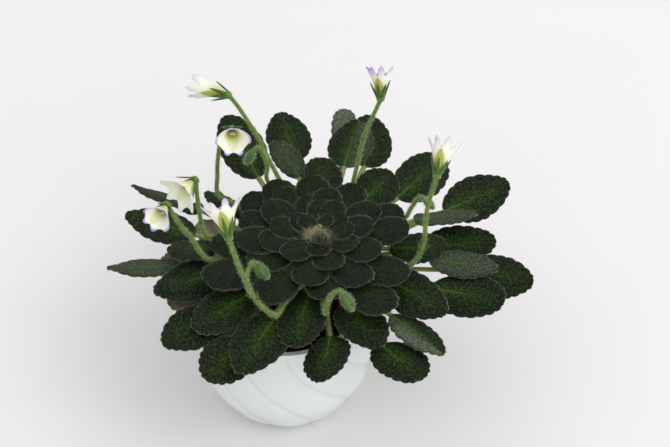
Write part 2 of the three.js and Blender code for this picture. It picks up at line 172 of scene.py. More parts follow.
# %% Floor and light
FLOOR_SIZE = 4.0
FLOOR_COLOUR = paint(234, 232, 232)
SKY_STRENGTH = 0.89
LAMPS = (
    ("key", (1.6, -0.6, 2.0), 1.8, 20.0),
    ("back", (-0.2, 0.9, 1.2), 0.8, 1.0),
    ("fill", (0.7, -1.3, 0.35), 1.0, 4.0),
)

bpy.ops.mesh.primitive_plane_add(size=FLOOR_SIZE)
floor = bpy.context.object
floor.name = "floor"
floor_material, tree, shader = new_material("pale_floor", 0.9)
spot = add_node(tree, "ShaderNodeTexCoord").outputs["Object"]
cloud = add_node(tree, "ShaderNodeTexNoise", {"Scale": 9.0, "Detail": 3.0}, {"Vector": spot}).outputs["Fac"]
tint = blend(tree, cloud, paint(229, 227, 227), FLOOR_COLOUR)
finish_material(tree, shader, tint)
floor.data.materials.append(floor_material)
floor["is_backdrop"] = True

world = bpy.data.worlds.new("sky")
bpy.context.scene.world = world
world.use_nodes = True
sky = world.node_tree.nodes["Background"]
sky.inputs["Color"].default_value = (0.99, 0.99, 1.0, 1)
sky.inputs["Strength"].default_value = SKY_STRENGTH
for name, place, size, power in LAMPS:
    bpy.ops.object.light_add(type="AREA", location=place)
    lamp = bpy.context.object
    lamp.name = name
    lamp.data.size = size
    lamp.data.energy = power
    lamp.rotation_euler = (CAMERA_TARGET - Vector(place)).to_track_quat("-Z", "Y").to_euler()
bpy.context.scene.view_settings.view_transform = "Standard"
print("lamps:", len(LAMPS))

# %% [markdown]
# Living surfaces are never one even colour. A shader group makes a fine mottle that the leaves, stalks,
# petals, soil and glaze all use at their own scale. It gives a mask from 0 to 1 that mixes
# two colours, and a height for a bump.

# %% The mottle group
DOME_SHARE = 0.45
HAZE_SHARE = 0.4

mottle_group = bpy.data.node_groups.new("mottle", "ShaderNodeTree")
for name in ("Fineness", "Softness"):
    mottle_group.interface.new_socket(name, in_out="INPUT", socket_type="NodeSocketFloat")
for name in ("Mask", "Height"):
    mottle_group.interface.new_socket(name, in_out="OUTPUT", socket_type="NodeSocketFloat")
inlet = add_node(mottle_group, "NodeGroupInput").outputs
spot = add_node(mottle_group, "ShaderNodeTexCoord").outputs["Object"]
grains = add_node(mottle_group, "ShaderNodeTexVoronoi",
                  links={"Vector": spot, "Scale": inlet["Fineness"]},
                  feature="SMOOTH_F1").outputs["Distance"]
haze = add_node(mottle_group, "ShaderNodeTexNoise", {"Detail": 3.0},
                {"Vector": spot, "Scale": inlet["Fineness"]}).outputs["Fac"]
domes = calculate(mottle_group, "SUBTRACT", 1.0, grains)
low = calculate(mottle_group, "SUBTRACT", 0.5, inlet["Softness"])
high = calculate(mottle_group, "ADD", 0.5, inlet["Softness"])
both = calculate(mottle_group, "ADD", calculate(mottle_group, "MULTIPLY", domes, DOME_SHARE),
                 calculate(mottle_group, "MULTIPLY", haze, HAZE_SHARE))
spread = add_node(mottle_group, "ShaderNodeMapRange",
                  links={"Value": both, "From Min": low, "From Max": high})
outlet = add_node(mottle_group, "NodeGroupOutput").inputs
mottle_group.links.new(spread.outputs[0], outlet["Mask"])
mottle_group.links.new(domes, outlet["Height"])


def mottle(tree, fineness, softness):
    node = add_node(tree, "ShaderNodeGroup", node_tree=mottle_group)
    node.inputs["Fineness"].default_value = fineness
    node.inputs["Softness"].default_value = softness
    return node.outputs["Mask"], node.outputs["Height"]


def mottled(tree, fineness, softness, dark, light):
    """A mottle of two colours, with the height of its grains."""
    mask, height = mottle(tree, fineness, softness)
    return blend(tree, mask, dark, light), height


print("shader groups:", len(bpy.data.node_groups))

# %% [markdown]
# The next helpers are for the meshes. Everything round on this plant, from the pot to a flower stalk,
# starts as a circle that is extruded into a tube with one ring per step. Everything flat starts as a
# grid with a thickness. Both are then shaped by a formula that moves their points, which keeps twists
# and bends exact where pushing by hand would wander.

# %% Helpers for editing
def select_only(obj):
    bpy.ops.object.select_all(action="DESELECT")
    obj.select_set(True)
    bpy.context.view_layer.objects.active = obj


def read_points(obj):
    points = np.empty(len(obj.data.vertices) * 3)
    obj.data.vertices.foreach_get("co", points)
    return points.reshape(-1, 3)


def write_points(obj, points):
    obj.data.vertices.foreach_set("co", np.ascontiguousarray(points, dtype=float).ravel())
    obj.data.update()


def edit_whole(obj, *steps):
    select_only(obj)
    bpy.ops.object.mode_set(mode="EDIT")
    bpy.ops.mesh.select_all(action="SELECT")
    for step in steps:
        step()
    bpy.ops.object.mode_set(mode="OBJECT")


def close_and_orient(obj, merge=2e-6):
    edit_whole(
        obj,
        lambda: bpy.ops.mesh.remove_doubles(threshold=merge),
        lambda: bpy.ops.mesh.normals_make_consistent(inside=False),
    )


def close_ends(obj, fill):
    """Fills the open ends of a mesh with one of Blender's filling tools and turns its faces outward."""
    edit_whole(
        obj,
        lambda: bpy.ops.mesh.select_all(action="DESELECT"),
        lambda: bpy.ops.mesh.select_non_manifold(),
        fill,
        lambda: bpy.ops.mesh.select_all(action="SELECT"),
        lambda: bpy.ops.mesh.normals_make_consistent(inside=False),
    )


print("editing helpers ready")

# %% [markdown]
# Pieces are begun, copied and finished in the same few ways, so each way has its own helper. A tube is a
# circle extruded by one unit for each ring, so its points still tell their ring and angle before they are
# moved. A finished piece is named and tied to the plant, and the nodes of the construction model that it
# stands for are hidden.

# %% Helpers for pieces
def make_tube(sides, rings):
    bpy.ops.mesh.primitive_circle_add(vertices=sides, radius=1)
    tube = bpy.context.object
    bpy.ops.object.mode_set(mode="EDIT")
    bpy.ops.mesh.select_all(action="SELECT")
    for _ in range(rings - 1):
        bpy.ops.mesh.extrude_region_move(TRANSFORM_OT_translate={"value": (0, 0, 1)})
    bpy.ops.object.mode_set(mode="OBJECT")
    return tube


def make_grid(rows, columns):
    bpy.ops.mesh.primitive_grid_add(x_subdivisions=rows, y_subdivisions=columns, size=2)
    return bpy.context.object


def thicken(sheet, thickness, offset=0, second_skin=0):
    """Gives a sheet a body, and its second face the material that many places further on."""
    select_only(sheet)
    solid = sheet.modifiers.new("thickness", "SOLIDIFY")
    solid.thickness = thickness
    solid.offset = offset
    solid.material_offset = second_skin
    bpy.ops.object.modifier_apply(modifier=solid.name)


def copy_of(master, points):
    obj = master.copy()
    obj.data = master.data.copy()
    bpy.context.collection.objects.link(obj)
    write_points(obj, points)
    return obj


def tube_grid(obj):
    points = read_points(obj)
    return np.arctan2(points[:, 1], points[:, 0]), np.rint(points[:, 2]).astype(int)


def round_points(radius, angle, height):
    """Places at a radius, an angle and a height about the Z axis."""
    return np.stack([radius * np.cos(angle), radius * np.sin(angle), height], axis=1)


def paint_on(obj, name, values):
    """Stores one value for each point of a mesh, for its material to read."""
    obj.data.attributes.new(name, "FLOAT", "POINT").data.foreach_set("value", values)


def join(objects):
    select_only(objects[0])
    for obj in objects:
        obj.select_set(True)
    bpy.ops.object.join()
    return bpy.context.object


def cover(obj, *materials):
    obj.data.materials.clear()
    for material in materials:
        obj.data.materials.append(material)


def settle(obj, name, slot, *nodes):
    """Names a finished piece, lets it ride with the plant and hides the nodes of the frame that it stands
    for.
    """
    obj.name = name
    obj.data.name = name
    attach(obj, "root")
    if nodes:
        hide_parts(*nodes)


def smoothstep(value, start=0.0, end=1.0):
    share = np.clip((value - start) / (end - start), 0, 1)
    return share * share * (3 - 2 * share)


print("piece helpers ready")

# %% [markdown]
# The wall of the pot and the stalks follow smooth curves through a few given points. Blender's curve
# objects could draw them, but the shapes below need places and directions as numbers. So the curve is
# worked out here, as cubic pieces that don't loop between close points, and cut into equal steps.

# %% A smooth route
ROUTE_STEPS = 24


def unit(vectors):
    return vectors / np.maximum(np.linalg.norm(vectors, axis=1, keepdims=True), 1e-9)


def smooth_route(points, count):
    """Points along one smooth curve through the given points, evenly spaced, with its directions."""
    points = np.array(points, float)
    ends = [2 * points[0] - points[1], 2 * points[-1] - points[-2]]
    padded = np.vstack([ends[0], points, ends[1]])
    dense = []
    for number in range(len(points) - 1):
        before, start, end, after = padded[number:number + 4]
        gaps = [np.sqrt(np.linalg.norm(b - a)) for a, b in ((before, start), (start, end), (end, after))]
        leave = (start - before) / gaps[0] - (end - before) / (gaps[0] + gaps[1]) + (end - start) / gaps[1]
        arrive = (end - start) / gaps[1] - (after - start) / (gaps[1] + gaps[2]) + (after - end) / gaps[2]
        for share in np.linspace(0, 1, ROUTE_STEPS, endpoint=False):
            cube, square = share ** 3, share ** 2
            dense.append((2 * cube - 3 * square + 1) * start + (cube - 2 * square + share) * leave * gaps[1]
                         + (3 * square - 2 * cube) * end + (cube - square) * arrive * gaps[1])
    dense = np.array(dense + [points[-1]])
    walked = np.concatenate([[0], np.cumsum(np.linalg.norm(np.diff(dense, axis=0), axis=1))])
    wanted = np.linspace(0, walked[-1], count)
    line = np.stack([np.interp(wanted, walked, dense[:, axis]) for axis in range(3)], axis=1)
    return line, unit(np.gradient(line, axis=0))


print("steps between two given points:", ROUTE_STEPS)

# %% [markdown]
# The pot is cast or thrown as one cup and pressed into ten panels that swirl round it. Its foot, wall,
# rim and inside are rings of one tube. Each ring is pulled to its radius, and the wall is then
# pressed in along lines that run down and round, steepest half-way up, and fade at rim and foot.

# %% The pot
POT_HEIGHT = 0.045
POT_WALL = 0.0018
POT_FLOOR = 0.003
POT_PANELS = 10
POT_TWIST = math.radians(58)
POT_PHASE = math.radians(6)
POT_GROOVE = 0.0005
POT_OUTLINE = [
    (0, 0.0217), (0.003, 0.0251), (0.008, 0.0281), (0.014, 0.0310),
    (0.022, 0.0322), (0.030, 0.0317), (0.038, 0.0307), (POT_HEIGHT, 0.0295),
]
POT_SIDES = 240
POT_RINGS = 46
FOOT_HOLLOW = 0.0006
FOOT_INSIDE = 0.019
FOOT_OUTSIDE = 0.0196
LINE_WIDTH = 0.0005
LINE_DEPTH = 0.00025

wall_line, _ = smooth_route([(radius, 0, z) for z, radius in POT_OUTLINE], POT_RINGS)
rows = [(0, FOOT_HOLLOW), (FOOT_INSIDE, FOOT_HOLLOW), (FOOT_OUTSIDE, 0)]
rows += [(x, z) for x, _, z in wall_line]
outside_rows = len(rows)
for turn in np.linspace(0.2, 1, 5) * math.pi:
    rows.append((POT_OUTLINE[-1][1] - POT_WALL / 2 * (1 - math.cos(turn)), POT_HEIGHT))
rows += [(x - POT_WALL, z) for x, _, z in wall_line[::-4] if POT_FLOOR + 0.002 < z < POT_HEIGHT - 0.001]
rows += [(POT_OUTLINE[1][1] - POT_WALL, POT_FLOOR), (0, POT_FLOOR)]
rows = np.array(rows)


def panel_at(angle, height, radius):
    """How far across its panel a place on the wall is, from 0 to 1, and its distance from a line."""
    swirl = angle - POT_PHASE + POT_TWIST * smoothstep(height / POT_HEIGHT)
    panel = (swirl / (2 * math.pi / POT_PANELS)) % 1
    return panel, np.minimum(panel, 1 - panel) * (2 * math.pi / POT_PANELS) * radius


pot = make_tube(POT_SIDES, len(rows))
angle, ring = tube_grid(pot)
radius, height = rows[ring].T
panel, from_line = panel_at(angle, height, radius)
fading = smoothstep(height, 0, 0.002) * smoothstep(POT_HEIGHT - height, 0.0002, 0.004)
pressed = POT_GROOVE * (1 - np.sin(math.pi * panel) ** 0.6)
pressed = pressed + LINE_DEPTH * np.exp(-(from_line / LINE_WIDTH) ** 2)
outside = (ring >= 2) & (ring < outside_rows)
radius = radius - np.where(outside, pressed * fading, 0)
write_points(pot, round_points(radius, angle, height))
close_and_orient(pot)
select_only(pot)
bpy.ops.object.shade_smooth_by_angle(angle=math.radians(50))
print("pot faces:", len(pot.data.polygons))

# %% [markdown]
# The pot's finish is a white, slightly blue and translucent gloss. A little light passes under the
# surface, and the lines between the panels are painted greyer, a painted shade of their shallow grooves.
# The mask of that painted shade is set on the mesh's points, so it follows the swirl exactly.

# %% The glaze
x, y, z = read_points(pot).T
_, from_line = panel_at(np.arctan2(y, x), z, np.hypot(x, y))
# The mask of painted shade along the panel lines, fading out under the rim.
shown = np.exp(-(from_line / (LINE_WIDTH * 1.2)) ** 2) * smoothstep(POT_HEIGHT - z, 0.0005, 0.004)
paint_on(pot, "line", shown)

glaze, tree, shader = new_material("white_glaze", 0.28, Coat_Weight=0.35, Coat_Roughness=0.12,
                                   Subsurface_Weight=0.15, Subsurface_Scale=0.004,
                                   Subsurface_Radius=(1.0, 0.9, 0.85))
colour, height = mottled(tree, 60.0, 0.3, paint(214, 221, 218), paint(224, 230, 227))
# Painted shade: the panel lines are greyed where their grooves would hold shadow.
colour = tinge(tree, colour, painted(tree, "line"), 0.35, paint(190, 196, 198))
finish_material(tree, shader, colour, height, 0.0002, 0.15)
cover(pot, glaze)
settle(pot, "swirled_pot", "glaze", "pot")
print("points on the pot's lines:", int((shown > 0.5).sum()))

# %% [markdown]
# The soil is a dark, reddish, open mix. It could be one bumpy disc, but its crumbs show between the front
# leaves, so a low mound of noise is strewn with small crushed spheres, all joined to one piece.

# %% The soil
SOIL_LEVEL = 0.040
SOIL_RADIUS = 0.0271
SOIL_FOOT = 0.0034
SOIL_FOOT_RADIUS = 0.0215
SOIL_SIDES = 72
SOIL_RINGS = 16
SOIL_BUMP = 0.0005
STEM_FOOT = (0.0094, 0.010)
STEM_RADIUS = 0.006
CRUMBS = 520
CRUMB_SIZE = (0.0005, 0.0013)
CRUMB_GAP = 0.0015
SEED = 7
random = np.random.default_rng(SEED)

mound = make_tube(SOIL_SIDES, SOIL_RINGS + 3)
angle, ring = tube_grid(mound)
profile = [(0, SOIL_FOOT), (SOIL_FOOT_RADIUS, SOIL_FOOT), (SOIL_RADIUS - 0.0004, 0.03)]
profile += [(SOIL_RADIUS * (1 - step / SOIL_RINGS), SOIL_LEVEL) for step in range(SOIL_RINGS)]
radius, height = np.array(profile)[ring].T
bumps = np.sin(angle * 5 + radius * 900) * np.cos(angle * 3 - radius * 1300) * SOIL_BUMP
height = height + np.where(ring > 2, bumps, 0)
write_points(mound, round_points(radius, angle, height))
edit_whole(mound, lambda: bpy.ops.mesh.remove_doubles(threshold=1e-6))
close_ends(mound, bpy.ops.mesh.fill)

bpy.ops.mesh.primitive_ico_sphere_add(subdivisions=1, radius=1)
crumb = bpy.context.object
shape = read_points(crumb)
crumbs = [mound]
for number in range(CRUMBS):
    around, out = random.uniform(0, 2 * math.pi), SOIL_RADIUS * 0.96 * math.sqrt(random.uniform(0, 1))
    place = np.array([out * math.cos(around), out * math.sin(around)])
    if np.hypot(*(place - STEM_FOOT)) < STEM_RADIUS + CRUMB_GAP:
        continue
    size = random.uniform(*CRUMB_SIZE)
    jag = shape * random.uniform(0.6, 1.2, shape.shape) * size
    crumbs.append(copy_of(crumb, jag + [*place, SOIL_LEVEL + 0.0002 + size * 0.3]))
bpy.data.objects.remove(crumb)
soil = join(crumbs)

earth, tree, shader = new_material("dark_mix", 0.95)
colour, height = mottled(tree, 900.0, 0.12, paint(34, 8, 16), paint(84, 22, 38))
finish_material(tree, shader, colour, height, 0.0004, 0.8)
cover(soil, earth)
settle(soil, "potting_mix", "soil", "soil")
print("crumbs:", len(crumbs) - 1, "soil faces:", len(soil.data.polygons))

# %% [markdown]
# A leaf is a flat stalk, the petiole, that widens into an oval blade. The blade is slightly domed, has
# a channel over its midrib and side veins that run forwards, and its edge is cut into rounded scallops.
# A flat master is made for the outer leaves and a coarser one for the inner leaves: a grid whose rows
# will follow the side veins, given a thickness. Its top and underside have their own material. Each leaf
# is a copy of one, and a formula takes every point from (row, share of the half width, side) to its
# place on that leaf.

# %% The blade master
PETIOLE_ROWS = 5
OUTER_SCALLOPS, OUTER_ROWS_PER_SCALLOP, OUTER_COLUMNS = 9.5, 6, 16
INNER_SCALLOPS, INNER_ROWS_PER_SCALLOP, INNER_COLUMNS = 6.5, 4, 10


def make_blade_master(scallops, rows_per_scallop, columns):
    rows = PETIOLE_ROWS + round(scallops * rows_per_scallop)
    master = make_grid(rows, columns)
    for name in ("top", "underside"):
        master.data.materials.append(bpy.data.materials.new(name))
    thicken(master, 1, second_skin=1)
    points = read_points(master)
    tip = points[:, 0] > 1 - 1e-4
    points[tip, 1] = 0
    write_points(master, points)
    edit_whole(master, lambda: bpy.ops.mesh.remove_doubles(threshold=1e-5))
    points = read_points(master)
    grid = SimpleNamespace(rows=rows, scallops=scallops, row=(points[:, 0] + 1) / 2 * rows,
                           across=points[:, 1], side=np.sign(points[:, 2]))
    return master, grid


outer_master, outer_grid = make_blade_master(OUTER_SCALLOPS, OUTER_ROWS_PER_SCALLOP, OUTER_COLUMNS)
inner_master, inner_grid = make_blade_master(INNER_SCALLOPS, INNER_ROWS_PER_SCALLOP, INNER_COLUMNS)
print("faces of a blade:", len(outer_master.data.polygons), "and", len(inner_master.data.polygons))

# %% [markdown]
# The rosette's own measures follow. The leaves fan out from one point, the crown. A longer leaf lies
# lower, every leaf climbs a little towards its tip, and the whole plane leans to the front, so that the
# leaves lie over each other like tiles without crossing.

# %% The measures of a leaf
CROWN = np.array([0.0124, 0.0135, 0.066])
LEAF_CLIMB = 0.16
ROSETTE_TILT = 0.08
OUTER_DROP = 0.0044
BLADE_THICKNESS = 0.0007
EDGE_THICKNESS = 0.00042
BLADE_CAMBER = 0.0005
SCALLOP_DEPTH = 0.00055
PETIOLE_WIDTH = 0.0019
PETIOLE_THICKNESS = 0.0015
MIDRIB_WIDTH = 0.0004
MIDRIB_DEPTH = 0.0002
MIDRIB_BODY = 0.0013
SIDE_VEINS = 7
VEIN_DEPTH = 0.00012
VEIN_WIDTH = 0.13
EDGE_WAVE = 0.00022
FIRST_TURN = 0.028
EDGE_POWER = 0.9
MIDDLE_POWER = 1.3
HALF_POWER = 0.85
print("crown at", CROWN, "and a petiole in mm:", 1000 * PETIOLE_WIDTH, "by", 1000 * PETIOLE_THICKNESS)

# %% [markdown]
# Every point of a leaf goes through one formula. Its row is first found on the outline, where the scallops
# bulge square to the edge. The point then gets its thickness, the channel over the midrib, the furrows of
# the side veins and a slight wave, and is rolled, bent aside and carried to its place in the rosette. A
# draw made from a sine gives each leaf its own small irregularities, the same ones in every run.

# %% The formula of a leaf
def draw(number, kind):
    """Gives a repeatable number from 0 to 1 for a piece's number and what is drawn."""
    value = np.sin(number * 12.9898 + kind * 78.233) * 43758.5453
    return value - np.floor(value)


def blade_outline(leaf, grid, row, sign):
    """Where a row meets the midline and the edge, and how far on the blade it is, from 0 to 1."""
    share = np.clip((row - PETIOLE_ROWS) / (grid.rows - PETIOLE_ROWS), 0, 1)
    wobble = 0.012 * np.sin(4 * math.pi * share + 6 * draw(leaf.number, 1) + sign) * np.sin(math.pi * share)
    turn = math.pi * np.clip(FIRST_TURN + (1 - FIRST_TURN) * share + wobble, FIRST_TURN, 1 - 1e-6)
    rise = (1 - np.cos(turn)) / 2
    edge = leaf.length * rise ** EDGE_POWER
    middle = leaf.length * rise ** MIDDLE_POWER
    half = leaf.width / 2 * np.sin(turn) ** HALF_POWER * (1 - leaf.point * rise ** 3)
    forward = leaf.length * EDGE_POWER * rise ** (EDGE_POWER - 1) * np.sin(turn) / 2
    outward = leaf.width / 2 * HALF_POWER * np.sin(turn) ** (HALF_POWER - 1) * np.cos(turn)
    steep = np.hypot(forward, outward)
    lobe = share * grid.scallops
    size = leaf.scallop * (0.75 + 0.5 * draw(np.floor(lobe) + 31 * leaf.number, 2 + sign))
    bulge = size * (np.abs(np.sin(math.pi * lobe)) ** 0.75 - 0.6) * smoothstep(share, 0.04, 0.25)
    return SimpleNamespace(share=share, rise=rise, edge=edge, middle=middle, half=half,
                           bulge_along=bulge * -outward / steep, bulge_across=bulge * forward / steep)


def leaf_height(leaf, along):
    blade = np.maximum(0, 1 - (leaf.reach - along) / leaf.length)
    return CROWN[2] + leaf.lift + LEAF_CLIMB * (along - leaf.reach) - leaf.droop * blade ** 2


def leaf_points(leaf, grid, row, across, side):
    """Takes (row, share of the half width, side: 1 top or -1 underside) to places on the plant."""
    sign = np.where(across < 0, -1.0, 1.0)
    part = blade_outline(leaf, grid, row, sign)
    width = np.abs(across)
    base = leaf.reach - leaf.length
    on_petiole = row < PETIOLE_ROWS
    along = base + part.middle + (part.edge - part.middle) * width + part.bulge_along * width ** 3
    along = np.where(on_petiole, leaf.root + (base - leaf.root) * row / PETIOLE_ROWS, along)
    half = np.maximum(part.half, PETIOLE_WIDTH / 2 * (1 - part.share * 4))
    sideways = across * half + sign * part.bulge_across * width ** 3
    sideways = np.where(on_petiole, across * PETIOLE_WIDTH / 2, sideways)
    early = np.minimum(1, part.rise ** EDGE_POWER * 5)
    rib = PETIOLE_THICKNESS + (BLADE_THICKNESS - PETIOLE_THICKNESS) * early
    arch = np.sqrt(1 - (0.94 * across) ** 2)
    thick = EDGE_THICKNESS + (rib - EDGE_THICKNESS) * np.exp(-(sideways / MIDRIB_BODY) ** 2)
    thick = thick * (arch + (1 - arch) * np.minimum(1, part.share * 8))
    sag = BLADE_CAMBER * (sideways / (leaf.width / 2)) ** 2
    channel = MIDRIB_DEPTH * np.exp(-(sideways / MIDRIB_WIDTH) ** 2) * smoothstep(part.share, 0, 0.1)
    vein = (part.share * SIDE_VEINS + 0.5 * sign) % 1 - 0.5
    furrow = VEIN_DEPTH * np.exp(-(vein / VEIN_WIDTH) ** 2) * np.sin(math.pi * np.clip(width, 0, 1))
    furrow = furrow * (part.share > 0)
    ripple = np.sin(5 * math.pi * part.share + 6 * draw(leaf.number, 5) + sign)
    wave = leaf.wave * ripple * width ** 3 * part.rise
    above = side * thick / 2 - sag + wave - np.where(side > 0, channel + furrow, -0.3 * furrow)
    roll = leaf.roll * np.minimum(1, part.rise ** EDGE_POWER * 4)
    aside = sideways * np.cos(roll) - above * np.sin(roll) + leaf.lean * np.maximum(0, along - base)
    rise = sideways * np.sin(roll) + above * np.cos(roll)
    x = along * math.cos(leaf.azimuth) - aside * math.sin(leaf.azimuth)
    y = along * math.sin(leaf.azimuth) + aside * math.cos(leaf.azimuth)
    z = leaf_height(leaf, along) + rise + ROSETTE_TILT * y
    return np.stack([CROWN[0] + x, CROWN[1] + y, z], axis=-1)


print("leaf formula ready")

# %% [markdown]
# Now the leaves themselves. The table gives each outer leaf's azimuth in degrees, its reach from the
# crown, the length and width of its blade, its lift, the droop of its tip, its roll in degrees, how far the
# blade bends aside and how much narrower its tip is. Four old leaves are half dried and lie lowest. An
# inner leaf needs only azimuth, reach and lift, because a leaf grows as it moves out. A few leaves are
# paler, all over or on one half, and a small table says how much and on which side.

# %% The table of leaves
OUTER_LEAVES = {
    "leaf_01": (154, 0.077, 0.028, 0.015, -0.002, 0, 33, 0.14, 0.6),
    "leaf_02": (171, 0.073, 0.027, 0.018, -0.0005, 0.0005, 3, -0.08, 0.5),
    "leaf_03": (189, 0.077, 0.026, 0.015, -0.001, 0, 19, 0.05, 0.7),
    "leaf_04": (184, 0.055, 0.018, 0.0135, 0.001, 0.0005, 14, 0.11, 0.1),
    "leaf_05": (198, 0.063, 0.027, 0.0185, 0, 0.0005, -3, 0.22, 0.5),
    "leaf_06": (222, 0.071, 0.026, 0.0175, -0.001, 0.0025, -13, -0.03, 0.4),
    "leaf_07": (224, 0.06, 0.028, 0.017, 0.001, 0.0025, -11, 0.02, 0.4),
    "leaf_08": (240, 0.07, 0.021, 0.0185, -0.003, 0.0045, -12, -0.14, 0.3),
    "leaf_09": (246, 0.065, 0.029, 0.02, 0.0003, 0.004, -3, 0, 0.5),
    "leaf_10": (262, 0.05, 0.029, 0.017, 0.001, 0.003, 5, -0.03, 0.2),
    "leaf_11": (276, 0.06, 0.019, 0.017, -0.003, 0.0035, 13, -0.23, 0.3),
    "leaf_12": (291, 0.053, 0.024, 0.018, 0.0003, 0.003, -2, 0.07, 0.3),
    "leaf_13": (296, 0.069, 0.02, 0.017, -0.003, 0.0035, 6, 0.28, 0.2),
    "leaf_14": (308, 0.068, 0.026, 0.012, 0.0003, 0.002, -2, 0.06, 0.4),
    "leaf_15": (327, 0.057, 0.031, 0.0185, 0.0015, 0.0015, 8, -0.18, 0.4),
    "leaf_16": (334, 0.072, 0.028, 0.0175, 0, 0.0005, 15, 0.06, 0.1),
    "leaf_17": (349, 0.079, 0.026, 0.018, -0.001, 0.0005, 12, -0.17, 0.3),
    "leaf_18": (348, 0.066, 0.025, 0.0125, 0.0024, 0, 4, -0.12, 0.4),
    "leaf_19": (3, 0.065, 0.028, 0.017, -0.002, 0.0005, 12, -0.06, 0.3),
    "leaf_20": (354, 0.046, 0.02, 0.0145, 0.0013, 0.0005, 2, 0.02, 0),
    "leaf_21": (23, 0.078, 0.027, 0.019, -0.001, 0, 15, 0, 0.4),
    "leaf_22": (18, 0.059, 0.022, 0.013, 0.0018, 0, -21, -0.3, 0.3),
    "leaf_23": (41, 0.064, 0.025, 0.0195, 0, 0, 3, 0.08, 0),
    "leaf_24": (53, 0.044, 0.017, 0.016, 0.0008, 0, 15, -0.08, 0.2),
    "leaf_25": (68, 0.07, 0.024, 0.02, 0, 0, 3, 0.24, 0.3),
    "leaf_26": (77, 0.065, 0.023, 0.018, 0.001, 0, -4, 0, 0.4),
    "leaf_27": (79, 0.073, 0.022, 0.0105, -0.001, 0, 1, 0.18, -0.1),
    "leaf_28": (85, 0.042, 0.018, 0.0145, 0.001, 0, 5, 0.13, 0),
    "leaf_29": (101, 0.072, 0.024, 0.018, -0.001, 0, -3, 0.08, 0.4),
    "leaf_30": (102, 0.055, 0.019, 0.0125, 0, 0, 10, 0.26, 0.2),
    "leaf_31": (120, 0.08, 0.033, 0.0185, -0.0024, 0.0005, -4, -0.09, 0.3),
    "leaf_32": (150, 0.049, 0.02, 0.013, 0, 0, 25, 0, 0.2),
}
OLD_LEAVES = {
    "leaf_33": (184, 0.058, 0.024, 0.016, -0.0067, 0.0005, 0, 0, 0.2),
    "leaf_34": (161, 0.049, 0.020, 0.014, -0.0080, 0.0005, 0, 0, 0.2),
    "leaf_35": (205, 0.059, 0.025, 0.017, -0.0063, 0.0005, 0, 0, 0.2),
    "leaf_36": (229, 0.055, 0.022, 0.015, -0.0068, 0.0005, 0, 0, 0.2),
}
INNER_LEAVES = [
    (212, 0.047, 0.0002), (302, 0.046, 0), (240, 0.039, -0.0002), (323, 0.039, 0), (189, 0.039, -0.0009),
    (20, 0.033, -0.0008), (145, 0.034, -0.0014), (2, 0.033, 0.0006), (276, 0.033, -0.0006),
    (125, 0.032, -0.0004), (302, 0.031, 0.0002), (189, 0.030, 0.0003), (166, 0.030, -0.0008),
    (213, 0.029, -0.0008), (96, 0.028, 0.0008), (59, 0.028, -0.0001), (262, 0.027, 0.0001),
    (124, 0.026, 0), (332, 0.025, 0.0006), (29, 0.025, 0.0005), (146, 0.024, 0.0006), (194, 0.022, 0.0003),
    (79, 0.021, 0.0013), (9, 0.020, 0.0009), (285, 0.020, 0.0003), (103, 0.019, 0.0002),
    (170, 0.018, 0.0007), (229, 0.018, 0.0005), (329, 0.016, 0.0009), (60, 0.015, 0.0019),
    (87, 0.015, 0.0012), (358, 0.013, 0.0013), (270, 0.013, 0.0006), (35, 0.012, 0.0012),
    (144, 0.012, 0.0007),
]
INNER_LENGTH = 0.026
INNER_LENGTH_GROWTH = 0.028
INNER_WIDTH = 0.0175
INNER_WIDTH_GROWTH = 0.019
INNER_DROOP = 0.0003
FULL_WIDTH = 0.017
PALE_LEAVES = {
    "leaf_03": (0.3, 0), "leaf_14": (0.65, -1), "leaf_18": (0.3, 0), "leaf_22": (0.3, 0),
    "leaf_26": (0.25, -1), "leaf_27": (0.75, 0), "leaf_30": (0.2, 0),
}
HEART_LEAVES = 4
HEART_REACH = 0.010
HEART_LIFT = 0.001
GOLDEN_ANGLE = 137.5
CLEARANCE = 0.0003


def outer_leaf(number, row):
    azimuth, reach, length, width, lift, droop, roll, lean, point = row
    return SimpleNamespace(
        number=number, azimuth=math.radians(azimuth), reach=reach, length=length, width=width,
        lift=lift - OUTER_DROP, droop=droop, roll=math.radians(roll), lean=lean, point=point,
        scallop=SCALLOP_DEPTH, wave=EDGE_WAVE, root=STEM_RADIUS + CLEARANCE)


def inner_leaf(number, row):
    azimuth, reach, lift = row
    length = INNER_LENGTH * (1 - math.exp(-reach / INNER_LENGTH_GROWTH))
    width = INNER_WIDTH * (1 - math.exp(-reach / INNER_WIDTH_GROWTH))
    return SimpleNamespace(
        number=number, azimuth=math.radians(azimuth), reach=reach, length=length, width=width,
        lift=lift, droop=INNER_DROOP, roll=0.0, lean=0, point=0, wave=EDGE_WAVE * 0.4,
        scallop=SCALLOP_DEPTH * width / FULL_WIDTH, root=min(STEM_RADIUS / 4, (reach - length) * 0.8))


heart_rows = [(number * GOLDEN_ANGLE, HEART_REACH - number * 0.001, HEART_LIFT + number * 0.0004)
              for number in range(HEART_LEAVES)]
outer_leaves = {name: outer_leaf(number, row)
                for number, (name, row) in enumerate(OUTER_LEAVES.items())}
old_leaves = {name: outer_leaf(number, row) for number, (name, row) in enumerate(OLD_LEAVES.items(), 50)}
inner_leaves = [inner_leaf(number, row) for number, row in enumerate(INNER_LEAVES + heart_rows, 100)]
print("outer leaves:", len(outer_leaves), "inner leaves:", len(inner_leaves))

# %% [markdown]
# The leaf's finish: nearly black green, freckled by the small domes that carry its hairs, with a bright
# green zone over the midrib that fades towards the tip, faint dark stripes of painted shade along its side
# veins, and greyer margins. The patterns follow the blade's own UV map, where U runs from root to tip and V
# across, so they bend with each leaf. The underside is a duller, paler green.

# %% Leaf materials
STRIPES = 19


def along_and_across(tree):
    uv = add_node(tree, "ShaderNodeUVMap", uv_map="UVMap").outputs[0]
    parts = add_node(tree, "ShaderNodeSeparateXYZ", links={0: uv}).outputs
    centred = calculate(tree, "MULTIPLY_ADD", parts[1], 2.0, -1.0)
    return parts[0], calculate(tree, "ABSOLUTE", centred)


